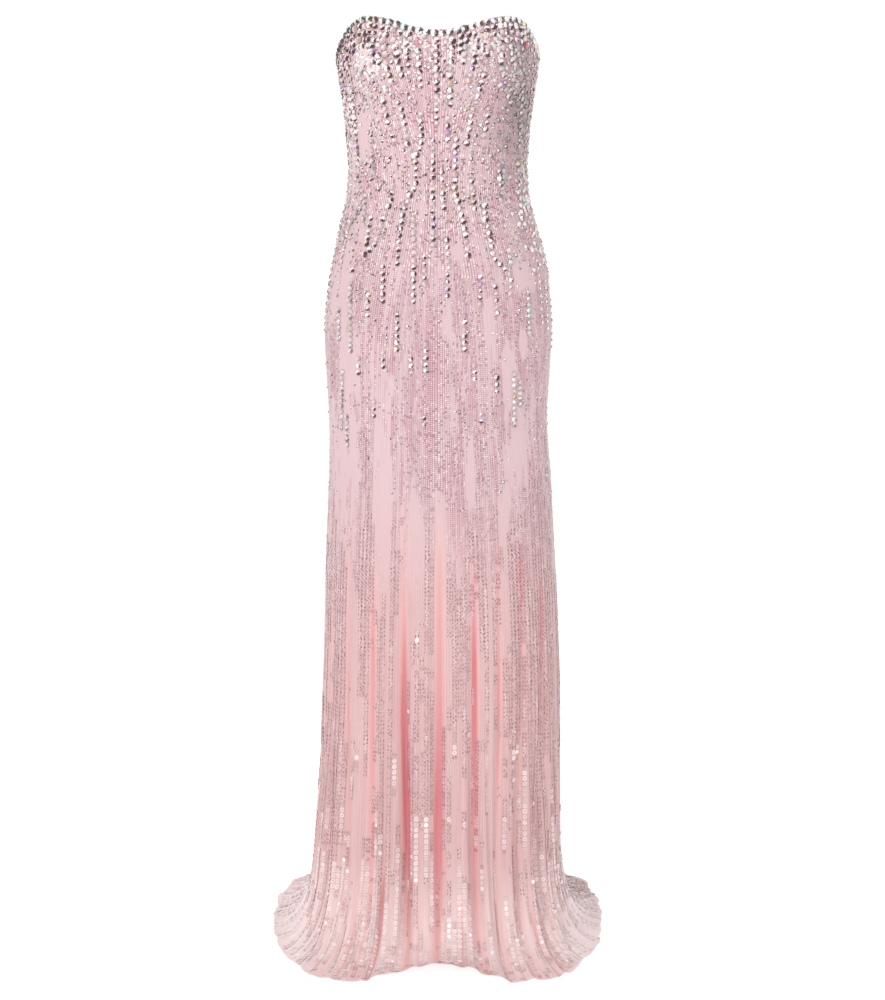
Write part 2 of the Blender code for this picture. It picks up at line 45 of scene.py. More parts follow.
# Form of the gown. Heights are above the floor; the body's outline gives how far the cloth
# reaches to each side, to the front and to the back, and the exponent of its oval section.
bodyLook = {
    "height": [1.340, 1.300, 1.265, 1.215, 1.165, 1.115, 1.075, 1.030, 0.985, 0.940, 0.885, 0.830,
               0.760, 0.680, 0.600, 0.490, 0.370, 0.250, 0.120, 0.000],
    "left": [0.1340, 0.1382, 0.1400, 0.1338, 0.1286, 0.1258, 0.1295, 0.1400, 0.1500, 0.1568, 0.1620,
             0.1600, 0.1565, 0.1570, 0.1608, 0.1642, 0.1672, 0.1722, 0.1812, 0.1890],
    "right": [0.1375, 0.1398, 0.1408, 0.1348, 0.1294, 0.1270, 0.1308, 0.1430, 0.1552, 0.1605, 0.1635,
              0.1610, 0.1578, 0.1635, 0.1680, 0.1742, 0.1780, 0.1778, 0.1795, 0.1870],
    "front": [0.0965, 0.1050, 0.1090, 0.1050, 0.0975, 0.0930, 0.0960, 0.1015, 0.1060, 0.1090, 0.1110,
              0.1120, 0.1125, 0.1140, 0.1170, 0.1210, 0.1260, 0.1320, 0.1420, 0.1500],
    "back": [0.0800, 0.0840, 0.0870, 0.0870, 0.0830, 0.0800, 0.0850, 0.0970, 0.1090, 0.1190, 0.1240,
             0.1230, 0.1180, 0.1130, 0.1110, 0.1130, 0.1190, 0.1340, 0.1600, 0.1900],
    "squareness": [2.4, 2.45, 2.5, 2.45, 2.35, 2.25, 2.25, 2.25, 2.3, 2.3, 2.3, 2.3,
                   2.3, 2.3, 2.3, 2.3, 2.35, 2.4, 2.5, 2.5],
    "roundness": 2.2,
    "cupAngle": 36.0, "cupHeight": 1.266, "cupDepth": 0.0150, "cupSpreadDeg": 21.0, "cupSpreadUp": 0.050,
}
neckLook = {
    "angle": [0, 12, 25, 35, 44, 53, 62, 70, 80, 92, 115, 145, 180],
    "height": [1.3100, 1.3145, 1.3235, 1.3275, 1.3290, 1.3260, 1.3150, 1.3020, 1.2865, 1.2710, 1.2570,
               1.2470, 1.2440],
}
# Hem edge from the middle of the front round to the middle of the back: where it lies, the height
# at which the cloth turns outwards above it, its lift off the floor, and the share of a fold's
# depth that becomes height where the cloth lies down.
hemLook = {
    "angle": [0, 10, 20, 32, 45, 60, 75, 90, 105, 120, 135, 150, 165, 180],
    "across": [0.000, 0.042, 0.086, 0.131, 0.177, 0.211, 0.235, 0.243, 0.246, 0.240, 0.218, 0.166, 0.089,
               0.000],
    "back": [-0.238, -0.246, -0.262, -0.266, -0.237, -0.165, -0.085, 0.000, 0.078, 0.143, 0.215, 0.298,
             0.362, 0.382],
    "turn": [0.170, 0.165, 0.155, 0.150, 0.140, 0.125, 0.115, 0.120, 0.145, 0.180, 0.245, 0.335, 0.400,
             0.420],
    "lift": [0.015, 0.011, 0.003, 0, 0, 0, 0, 0, 0, 0, 0, 0, 0, 0],
    "roll": [0.3, 0.3, 0.3, 0.3, 0.28, 0.22, 0.15, 0.12, 0.15, 0.25, 0.4, 0.6, 0.7, 0.7],
}
topHeight, cupLine, foldLine, kneeHeight = 1.32, 1.20, 0.60, 0.35  # cups, underbust, folds, knee
hemLift, deepestValley = 0.0022, 0.0125
# How the cloth turns out at the hem: what its sweep adds to the length, from where along it the
# cloth lies down, and how much of the folds is lost there.
sweepLook = {"perTurn": 0.75, "more": 0.10, "liesFrom": 0.45, "flattened": 0.6}

# Main valleys of the skirt: angle at the knee and at the hem, height where it starts, depth at
# the knee and at the hem, and half its width in degrees.
foldLook = [
    (-170, -171, 0.56, 0.007, 0.013, 4.4), (-155, -157, 0.62, 0.010, 0.016, 4.4),
    (-138, -140, 0.60, 0.009, 0.015, 4.6), (-121, -124, 0.52, 0.007, 0.010, 4.4),
    (-104, -107, 0.50, 0.006, 0.006, 4.2), (-82, -73, 0.50, 0.005, 0.005, 4.4),
    (-66, -56, 0.60, 0.006, 0.008, 4.0), (-49.5, -41.5, 0.62, 0.006, 0.011, 3.0),
    (-32, -29.3, 0.58, 0.007, 0.012, 4.6), (-15, -10.5, 0.68, 0.013, 0.017, 3.6),
    (0.7, -0.2, 0.63, 0.010, 0.014, 3.4), (15.3, 15.8, 0.60, 0.009, 0.014, 3.0),
    (27.6, 26.4, 0.60, 0.007, 0.012, 2.8), (41.4, 35.5, 0.62, 0.007, 0.012, 3.4),
    (57, 47, 0.58, 0.008, 0.012, 3.6), (72, 61, 0.56, 0.006, 0.008, 4.0),
    (87, 78, 0.50, 0.006, 0.005, 4.2), (104, 106, 0.50, 0.006, 0.006, 4.4),
    (120, 123, 0.54, 0.008, 0.010, 4.4), (137, 140, 0.60, 0.009, 0.015, 4.6),
    (154, 156, 0.62, 0.010, 0.016, 4.4), (169, 170, 0.55, 0.007, 0.013, 4.4),
]
# A valley's swell beside it is this wide, in degrees. Its painted shade starts a little above it,
# is weaker in shallow ones, is narrower than it, and comes and goes in long waves down it.
valleyLook = {
    "swell": 16, "early": 0.05, "soft": 0.11, "noneAt": 0.003, "depthRange": 0.012, "narrow": 0.75,
    "mean": 0.88, "change": 0.22, "wavesUp": 8, "wavesRound": 0.4, "shift": -0.7,
}
# Small soft creases between them, and short tucks at the hem: angle, top height, foot height,
# depth, half width.
creaseLook = [
    (-24, 0.52, 0.04, 0.0026, 1.6), (-5.5, 0.50, 0.10, 0.0022, 1.4), (8.5, 0.47, 0.03, 0.0026, 1.5),
    (21.5, 0.50, 0.06, 0.0024, 1.4), (34, 0.46, 0.05, 0.0022, 1.5), (-40, 0.55, 0.06, 0.0022, 1.6),
    (49, 0.50, 0.05, 0.0024, 1.6), (65, 0.46, 0.05, 0.0022, 1.8), (-58, 0.50, 0.05, 0.0024, 1.8),
    (-74, 0.46, 0.06, 0.0022, 1.8), (79, 0.44, 0.05, 0.0022, 1.8), (-93, 0.45, 0.05, 0.0026, 2.0),
    (96, 0.44, 0.06, 0.0024, 2.0), (112, 0.47, 0.05, 0.0026, 2.0), (-112, 0.46, 0.05, 0.0026, 2.0),
    (129, 0.50, 0.04, 0.0026, 2.0), (-130, 0.50, 0.05, 0.0028, 2.0), (146, 0.52, 0.04, 0.0028, 2.0),
    (-147, 0.50, 0.05, 0.0026, 2.0), (162, 0.50, 0.04, 0.0026, 2.0), (-163, 0.52, 0.04, 0.0028, 2.0),
    (-22, 0.17, 0, 0.0065, 1.2), (24, 0.15, 0, 0.0060, 1.1), (-36, 0.16, 0, 0.0050, 1.3),
    (10, 0.16, 0, 0.0045, 1.1), (42, 0.16, 0, 0.0055, 1.3), (-6, 0.15, 0, 0.0045, 1.0),
]
creaseWander = {"degrees": 1.1, "wavesUp": 11, "shift": 2.3, "fadeTop": 0.14, "fadeFoot": 0.12, "past": 0.10}
princessLook = {
    "height": [1.34, 1.29, 1.25, 1.20, 1.15, 1.10, 1.05, 0.97, 0.85, 0.60, 0.30, 0.00],
    "angle": [32, 30, 26, 19, 13, 11, 12.5, 16, 19.5, 22.5, 23, 21],
}
sideSeam, wall = 92.0, 0.0012


# Smooth curve through points: a cubic in each span whose end slopes are the neighbours' means.
def curveThrough(x, xs, ys, levelEnds=False):
    xs, ys = np.asarray(xs, float), np.asarray(ys, float)
    if xs[0] > xs[-1]:
        xs, ys = xs[::-1], ys[::-1]
    slopes = np.gradient(ys, xs)
    if levelEnds:
        slopes[0] = slopes[-1] = 0
    i = np.clip(np.searchsorted(xs, x) - 1, 0, len(xs) - 2)
    span = xs[i + 1] - xs[i]
    t = np.clip((x - xs[i]) / span, 0, 1)
    rise = ys[i + 1] - ys[i]
    bend = t * (1 - t) * ((slopes[i] * span - rise) * (1 - t) - (slopes[i + 1] * span - rise) * t)
    return ys[i] + rise * t + bend


# 3t² - 2t³, from 0 to 1 with level ends.
def ease(t):
    t = np.clip(t, 0, 1)
    return t * t * (3 - 2 * t)


def around(theta, look, name):
    angle = np.abs(np.degrees(theta))
    angle = np.minimum(angle, 360 - angle)
    return curveThrough(angle, look["angle"], look[name], name != "across")


def bodyAt(z, name):
    return curveThrough(z, bodyLook["height"], bodyLook[name])


# Oval section: x is side·sin^(2/r), y is depth·(1 - |x/side|^n)^(1/n), and two cups, each a bell
# curve in angle and height, push the front out.
def bodyPoint(theta, z):
    sine, cosine = np.sin(theta), np.cos(theta)
    across = np.abs(sine) ** (2 / bodyLook["roundness"])
    side = np.where(sine < 0, bodyAt(z, "left"), bodyAt(z, "right"))
    deep = np.where(cosine > 0, bodyAt(z, "front"), bodyAt(z, "back"))
    square = bodyAt(z, "squareness")
    x = np.sign(sine) * across * side
    y = -np.sign(cosine) * np.maximum(1 - across**square, 0) ** (1 / square) * deep
    offApex = (np.abs(np.degrees(theta)) - bodyLook["cupAngle"]) / bodyLook["cupSpreadDeg"]
    offHeight = (z - bodyLook["cupHeight"]) / bodyLook["cupSpreadUp"]
    cup = bodyLook["cupDepth"] * np.exp(-(offApex**2) - offHeight**2)
    return np.stack([x * (1 + 0.6 * cup), y - cup, z + 0 * x], -1)


# Sum over the valleys of depth times a narrow bell curve, less a wide one of the same area, so
# that the cloth swells between them; each grows from its start height to the knee. Also gives
# how strong the painted shade in the valleys is at each place, 0 to 1.
def foldShape(theta, z):
    degrees = np.degrees(theta)
    kneeShare = np.clip((foldLine - z) / (foldLine - kneeHeight), 0, 1)
    hemShare = np.clip((kneeHeight - z) / kneeHeight, 0, 1)
    total = np.zeros(np.broadcast(theta, z).shape)
    inside = np.zeros(total.shape)
    for knee, hem, start, depthKnee, depthHem, width in foldLook:
        angle = knee + (hem - knee) * hemShare
        depth = depthKnee + (depthHem - depthKnee) * hemShare
        grown = ease((start - z) / (start - kneeHeight))
        off = (degrees - angle + 180) % 360 - 180
        swell = valleyLook["swell"]
        rise = np.exp(-((off / swell) ** 2)) * width / swell
        total += depth * grown * (rise - np.exp(-((off / width) ** 2)))
        early = ease((start + valleyLook["early"] - z) / valleyLook["soft"])
        tone = np.clip((depthHem - valleyLook["noneAt"]) / valleyLook["depthRange"], 0, 1)
        phase = valleyLook["wavesUp"] * z + valleyLook["wavesRound"] * knee + valleyLook["shift"]
        tone = tone * (valleyLook["mean"] + valleyLook["change"] * np.sin(phase))
        inside = np.maximum(inside, early * tone * np.exp(-((off / (valleyLook["narrow"] * width)) ** 2)))
    return total * np.maximum(np.sqrt(kneeShare), 0.25), inside


# The same with the small creases and tucks: bell curves that fade in and out and wander a little.
def creaseOffset(theta, z):
    degrees = np.degrees(theta)
    total = np.zeros(np.broadcast(theta, z).shape)
    look = creaseWander
    for i, (angle, top, foot, depth, width) in enumerate(creaseLook):
        wander = look["degrees"] * np.sin(z * look["wavesUp"] + look["shift"] * i)
        off = (degrees - angle - wander + 180) % 360 - 180
        shown = ease((top - z) / look["fadeTop"]) * ease((z - foot + look["past"]) / look["fadeFoot"])
        total -= depth * shown * np.exp(-((off / width) ** 2))
    return total


frillLook = {"waves": [34, 55, 83], "shift": [0.4, 1.9, 4.1], "depth": [0.0020, 0.0016, 0.0008], "top": 0.50}
# The hem's edge: broad and fine scallops as shares of its reach, small ruffles that fade out at
# "top", and how far it flutters off the floor. All but the broad ones are weaker past "angle".
edgeLook = {
    "broad": 0.008, "fine": 0.006, "ruffle": 0.0036, "flutter": 0.0030, "top": 0.085,
    "broadWaves": 21, "fineWaves": 50, "ruffleWaves": 61, "flutterWaves": 27,
    "angle": 52, "soft": 24, "behind": 0.25,
}


# 1 on the front, less beyond it.
def frontShare(theta):
    behind, soft = edgeLook["behind"], edgeLook["soft"]
    past = (np.abs(np.degrees(theta)) - edgeLook["angle"] + soft / 2) / soft
    return behind + (1 - behind) * ease(1 - past)


# Small uneven waves that grow towards the hem: sines whose phase and height wander round the gown.
def frillOffset(theta, z):
    total = 0
    for waves, shift, depth in zip(frillLook["waves"], frillLook["shift"], frillLook["depth"]):
        total = total + depth * np.sin(waves * theta + shift + 1.7 * np.sin(5 * theta + shift) + 7 * z)
    ruffle = np.sin(edgeLook["ruffleWaves"] * theta + 2.6 * np.sin(9 * theta))
    ruffle = ruffle * (0.6 + 0.4 * np.sin(4 * theta)) * edgeLook["ruffle"] * frontShare(theta)
    ruffle = ruffle * ease((edgeLook["top"] - z) / edgeLook["top"])
    return total * ease((frillLook["top"] - z) / frillLook["top"]) + ruffle


# Below the fold line: straight down to the turn, then a quadratic sweep (1-t)²·a + 2t(1-t)·b + t²·c
# out to the hem's edge. Folds push the cloth outwards, and upwards where it lies down.
def skirtPoint(theta, fall):
    turn = around(theta, hemLook, "turn")
    hang = foldLine - turn
    hangShare = hang / (hang + sweepLook["perTurn"] * turn + sweepLook["more"])
    hanging = fall < hangShare
    zHang = foldLine + (turn - foldLine) * np.clip(fall / hangShare, 0, 1)
    t = np.clip((fall - hangShare) / (1 - hangShare), 0, 1)
    start, middle = bodyPoint(theta, turn), bodyPoint(theta, 0 * turn)
    middle[..., 2] = hemLift
    side = np.sign(np.sin(theta))
    lift = around(theta, hemLook, "lift") + hemLift
    end = np.stack([side * around(theta, hemLook, "across"), around(theta, hemLook, "back"), lift], -1)
    front = frontShare(theta)
    fine = np.sin(edgeLook["fineWaves"] * theta + 2.2 * np.sin(7 * theta)) * np.sin(5 * theta + 1)
    scallop = edgeLook["broad"] * np.sin(edgeLook["broadWaves"] * theta + 2) * np.sin(8 * theta)
    scallop += edgeLook["fine"] * front * fine
    end *= 1 + scallop[..., None] * [1, 1, 0]
    flutter = 0.5 + 0.5 * np.sin(edgeLook["flutterWaves"] * theta + 1.9 * np.sin(6 * theta + 1))
    end[..., 2] += edgeLook["flutter"] * (front - edgeLook["behind"]) / (1 - edgeLook["behind"]) * flutter
    t3 = t[..., None]
    swept = (1 - t3) ** 2 * start + 2 * t3 * (1 - t3) * middle + t3**2 * end
    base = np.where(hanging[..., None], bodyPoint(theta, zHang), swept)
    z = np.where(hanging, zHang, turn * (1 - t))
    offset = foldShape(theta, z)[0] + creaseOffset(theta, z) + frillOffset(theta, z)
    outward = np.stack([np.sin(theta), -np.cos(theta), 0 * theta], -1)
    lying = ease((t - sweepLook["liesFrom"]) / (1 - sweepLook["liesFrom"]))[..., None]
    rise = around(theta, hemLook, "roll") * (np.maximum(offset, -deepestValley) + deepestValley)
    upward = np.stack([0 * theta, 0 * theta, rise], -1)
    return base + outward * offset[..., None] * (1 - sweepLook["flattened"] * lying) + upward * lying


# Level 0 is the top edge, 1 the underbust line, 2 the line where the folds start, 3 the hem.
def gownPoint(theta, level):
    theta, level = np.broadcast_arrays(np.asarray(theta, float), np.asarray(level, float))
    edge = around(theta, neckLook, "height")
    top = edge + (cupLine - edge) * np.clip(level, 0, 1)
    z = top + (foldLine - cupLine) * np.clip(level - 1, 0, 1)
    skirt = skirtPoint(theta, np.clip(level - 2, 0, 1))
    return np.where((level > 2)[..., None], skirt, bodyPoint(theta, z))


def unitVectors(vectors):
    return vectors / np.maximum(np.linalg.norm(vectors, axis=-1, keepdims=True), 1e-9)


frameStep = {"level": 0.012, "angle": 0.006}


# Outward unit normal, and the unit direction down the cloth, from central differences.
def gownFrame(theta, level):
    step, turn = frameStep["level"], frameStep["angle"]
    down = gownPoint(theta, np.clip(level + step, 0, 3)) - gownPoint(theta, np.clip(level - step, 0, 3))
    across = gownPoint(theta + turn, level) - gownPoint(theta - turn, level)
    return unitVectors(np.cross(down, across)), unitVectors(down)


# Level of a height on the bodice and body, and the other way round, with a mean top edge.
def levelAt(theta, z):
    edge = around(theta, neckLook, "height")
    inBodice = (edge - z) / (edge - cupLine)
    return np.where(z > cupLine, inBodice, 1 + (cupLine - z) / (cupLine - foldLine))


def heightOf(level):
    return np.interp(level, (0, 1, 2, 3), (topHeight, cupLine, foldLine, 0.0))


# Strings run down the gown between the seams: string 0 starts at the left of the front centre
# panel, and each panel has its own count.
panelLook = {
    "front_centre_panel": {"first": ("princess", -1), "last": ("princess", 1), "strings": 44, "columns": 64},
    "front_left_panel": {"first": ("side", -1), "last": ("princess", -1), "strings": 56, "columns": 92},
    "front_right_panel": {"first": ("princess", 1), "last": ("side", 1), "strings": 56, "columns": 92},
    "back_left_panel": {"first": ("back", -1), "last": ("side", -1), "strings": 60, "columns": 112},
    "back_right_panel": {"first": ("side", 1), "last": ("back", 1), "strings": 60, "columns": 112},
}
seamAngles = {"side": sideSeam, "back": 180.0}


def seamAt(seam, level):
    name, sign = seam
    if name == "princess":
        return sign * curveThrough(heightOf(level), princessLook["height"], princessLook["angle"])
    return sign * seamAngles[name] + 0 * level


# Angle at a share (0 to 1) of the way across a panel.
def panelAngle(look, share, level):
    first, last = seamAt(look["first"], level), seamAt(look["last"], level)
    return np.radians(first + (last - first) * share)


# Bare patches without beads or sequins, as soft ellipses: x and height of the middle, half
# width and half height, in millimetres. Those at the back and sides are like them.
patchLook = [
    (-105, 1033, 9, 24), (-130, 1002, 9, 26), (-136, 930, 14, 66), (-126, 849, 16, 60), (120, 969, 12, 20),
    (121, 878, 6, 26), (101, 837, 10, 32), (28, 1008, 10, 12), (-131, 706, 18, 120), (-77, 660, 17, 125),
    (-31, 590, 13, 60), (6, 560, 10, 120), (117, 729, 18, 62), (46, 688, 6, 50), (95, 560, 6, 120),
    (-105, 1167, 12, 46), (-120, 1110, 8, 60), (70, 900, 8, 30), (-20, 1060, 6, 16), (12, 905, 7, 24),
]


# Ellipses strewn over the back, with the columns of the front's table: a range for each.
def strewnEllipses(seed, count, *ranges):
    rng = np.random.default_rng(seed)
    return [tuple(rng.uniform(low, high) for low, high in ranges) for _ in range(count)]


patchesBehind = strewnEllipses(11, 26, (-150, 150), (420, 1150), (8, 17), (25, 110))


# The strongest ellipse at each point, 0 to 1: exp(-strength·far^power), where far is the squared
# distance from the middle, with the half width and half height as units.
def inEllipses(points, front, behind, power, strength):
    x, y, z = points[..., 0], points[..., 1], points[..., 2]
    total = np.zeros(x.shape)
    for table, here in ((front, y < 0.01), (behind, y >= 0.01)):
        for px, pz, halfX, halfZ in table:
            far = ((x - px / 1000) / (halfX / 1000)) ** 2 + ((z - pz / 1000) / (halfZ / 1000)) ** 2
            total = np.maximum(total, here * np.exp(-(far**power) * strength))
    return total


# How bare the cloth is, 0 to 1, at points of its face.
def bareness(points):
    return inEllipses(points, patchLook, patchesBehind, 1.5, 0.7)


# Grey stones and beads darken the right side of the bust: a bell curve in angle and height.
dullLook = {"angle": 58, "spread": 27, "height": 1.195, "spreadUp": 0.105}


def dullness(theta, z):
    off = (np.degrees(theta) - dullLook["angle"]) / dullLook["spread"]
    return np.exp(-(off**2) - ((z - dullLook["height"]) / dullLook["spreadUp"]) ** 2)


# Where the right lobe of the hem lies in its own shade, 0 to 1: a band of height plus a third of
# the depth, which is level across the lobe as it slopes back.
lobeLook = {"side": 0.168, "low": 0.036, "high": 0.098, "soft": 0.016, "top": 0.13, "slope": 0.33}


def lobeShade(points):
    x, y, z = points[..., 0], points[..., 1], points[..., 2]
    level = z + lobeLook["slope"] * y
    soft = lobeLook["soft"]
    band = ease((level - lobeLook["low"]) / soft) * ease((lobeLook["high"] - level) / soft)
    return band * ease((x - lobeLook["side"]) / soft) * ease((lobeLook["top"] - z) / soft)


# From heights above the floor to the frame, whose origin is on the line where the gown is held.
def toFrame(points):
    return points - np.array([0, 0, holdHeight])


# A mesh from whole arrays: points, and faces of one size. Adds a UV map and attributes if given.
def meshFrom(name, points, faces, uv=None, attributes=None, smooth=True):
    mesh = bpy.data.meshes.new(name)
    faces = np.asarray(faces, np.int32)
    mesh.vertices.add(len(points))
    mesh.vertices.foreach_set("co", np.asarray(points, np.float32).ravel())
    mesh.loops.add(faces.size)
    mesh.loops.foreach_set("vertex_index", faces.ravel())
    mesh.polygons.add(len(faces))
    mesh.polygons.foreach_set("loop_start", np.arange(0, faces.size, faces.shape[1], dtype=np.int32))
    mesh.polygons.foreach_set("use_smooth", np.full(len(faces), smooth))
    if uv is not None:
        layer = mesh.uv_layers.new(name="strings")
        layer.uv.foreach_set("vector", np.asarray(uv, np.float32)[faces.ravel()].ravel())
    for key, (values, domain) in (attributes or {}).items():
        kind, field = ("FLOAT", "value") if np.ndim(values) == 1 else ("FLOAT_COLOR", "color")
        layer = mesh.attributes.new(key, kind, domain)
        layer.data.foreach_set(field, np.asarray(values, np.float32).ravel())
    mesh.update(calc_edges=True)
    mesh.validate()
    return mesh


def addPiece(name, mesh, body, slot, *materials):
    obj = bpy.data.objects.new(name, mesh)
    bpy.context.scene.collection.objects.link(obj)
    for material in materials:
        obj.data.materials.append(material)
    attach(obj, body)
    return obj


# A socket of a node tree. Arithmetic between wires makes Math nodes.
class Wire:
    def __init__(self, tree, socket=None):
        self.tree, self.socket = tree, socket

    # Any node: its type, its settings, and what its input sockets get. Gives its first output.
    def node(self, kind, settings=None, inputs=None, output=0):
        made = self.tree.nodes.new(kind)
        for key, value in (settings or {}).items():
            setattr(made, key, value)
        for key, value in (inputs or {}).items():
            if isinstance(value, Wire):
                self.tree.links.new(value.socket, made.inputs[key])
            else:
                made.inputs[key].default_value = value
        return Wire(self.tree, made.outputs[output])

    def other(self, output):
        return Wire(self.tree, self.socket.node.outputs[output])

    def math(self, operation, *values):
        return self.node("ShaderNodeMath", {"operation": operation}, dict(enumerate((self, *values))))

    def __add__(self, value):
        return self.math("ADD", value)

    def __mul__(self, value):
        return self.math("MULTIPLY", value)

    def __sub__(self, value):
        return self.math("SUBTRACT", value)

    def __truediv__(self, value):
        return self.math("DIVIDE", value)

    def __rsub__(self, value):
        return (self * -1) + value

    __radd__, __rmul__ = __add__, __mul__

    # 0 below low, 1 above high, smooth between.
    def step(self, low, high):
        inputs = {"Value": self, "From Min": low, "From Max": high}
        return self.node("ShaderNodeMapRange", {"interpolation_type": "SMOOTHSTEP"}, inputs)

    # Colour between a and b by this wire.
    def mix(self, a, b):
        return self.node("ShaderNodeMix", {"data_type": "RGBA"}, {0: self, 6: a, 7: b}, 2)

    def attribute(self, name, output="Fac"):
        return self.node("ShaderNodeAttribute", {"attribute_name": name}, output=output)

    def join(self, x, y, z=0.0):
        return self.node("ShaderNodeCombineXYZ", inputs={"X": x, "Y": y, "Z": z})

    def noise(self, vector, detail=2.0):
        inputs = {"Vector": vector, "Scale": 1.0, "Detail": detail}
        return self.node("ShaderNodeTexNoise", {"noise_dimensions": "2D"}, inputs)


# A material: its Principled shader gets constants and wires by socket name.
def newMaterial(name, build):
    material = bpy.data.materials.new(name)
    material.use_nodes = True
    tree = material.node_tree
    shader = tree.nodes["Principled BSDF"]
    wire = Wire(tree)
    for key, value in build(wire).items():
        if isinstance(value, Wire):
            tree.links.new(value.socket, shader.inputs[key])
        else:
            shader.inputs[key].default_value = value
    return material


def rgb(r, g, b):
    return (r, g, b, 1.0)


clothColours = {
    "bare": rgb(0.595, 0.435, 0.452),
    "bareShade": rgb(0.515, 0.345, 0.365),
    "bareWarm": rgb(0.575, 0.360, 0.362),
    # Painted light: the paler cloth near the hem and on the lobes, where they lie down.
    "hem": rgb(0.80, 0.600, 0.595),
    "lobe": rgb(0.92, 0.775, 0.770),
    # Painted shade between the beads, on the bodice and on the skirt.
    "gap": rgb(0.37, 0.175, 0.215),
    "gapWarm": rgb(0.52, 0.300, 0.310),
    "bead": rgb(0.66, 0.450, 0.480),
    "beadPale": rgb(0.64, 0.505, 0.515),
    "beadWarm": rgb(0.60, 0.385, 0.39),
    "beadDark": rgb(0.24, 0.12, 0.14),
    "beadBright": rgb(0.90, 0.78, 0.78),
    "thread": rgb(0.66, 0.475, 0.475),
    # Painted shade in the hollows and creases, and deeper, redder painted shade in the valleys.
    "hollowShade": rgb(0.78, 0.430, 0.405),
    "valley": rgb(0.56, 0.160, 0.185),
    # Grey for the beads on the right of the bust, and painted shade on the right lobe.
    "shade": rgb(0.27, 0.18, 0.19),
    "inside": rgb(0.56, 0.37, 0.40),
    "insidePale": rgb(0.70, 0.50, 0.53),
}
# Beads: the width of a string in mm and the length of a bead in m, the shares that are dark or
# bright, and how evenly strings end. Then the strength of each colour that lies over them.
beadLook = {
    "pitch": 3.1, "length": 0.0028, "darkShare": 0.13, "brightShare": 0.12, "ragged": 0.70, "bare": 0.85,
    "bumpStrength": 0.6, "bumpHeight": 0.0010,
}
overLook = {"weave": 0.55, "pale": 0.85, "thread": 0.5, "hollowShade": 0.55, "valley": 0.90, "shade": 0.72}


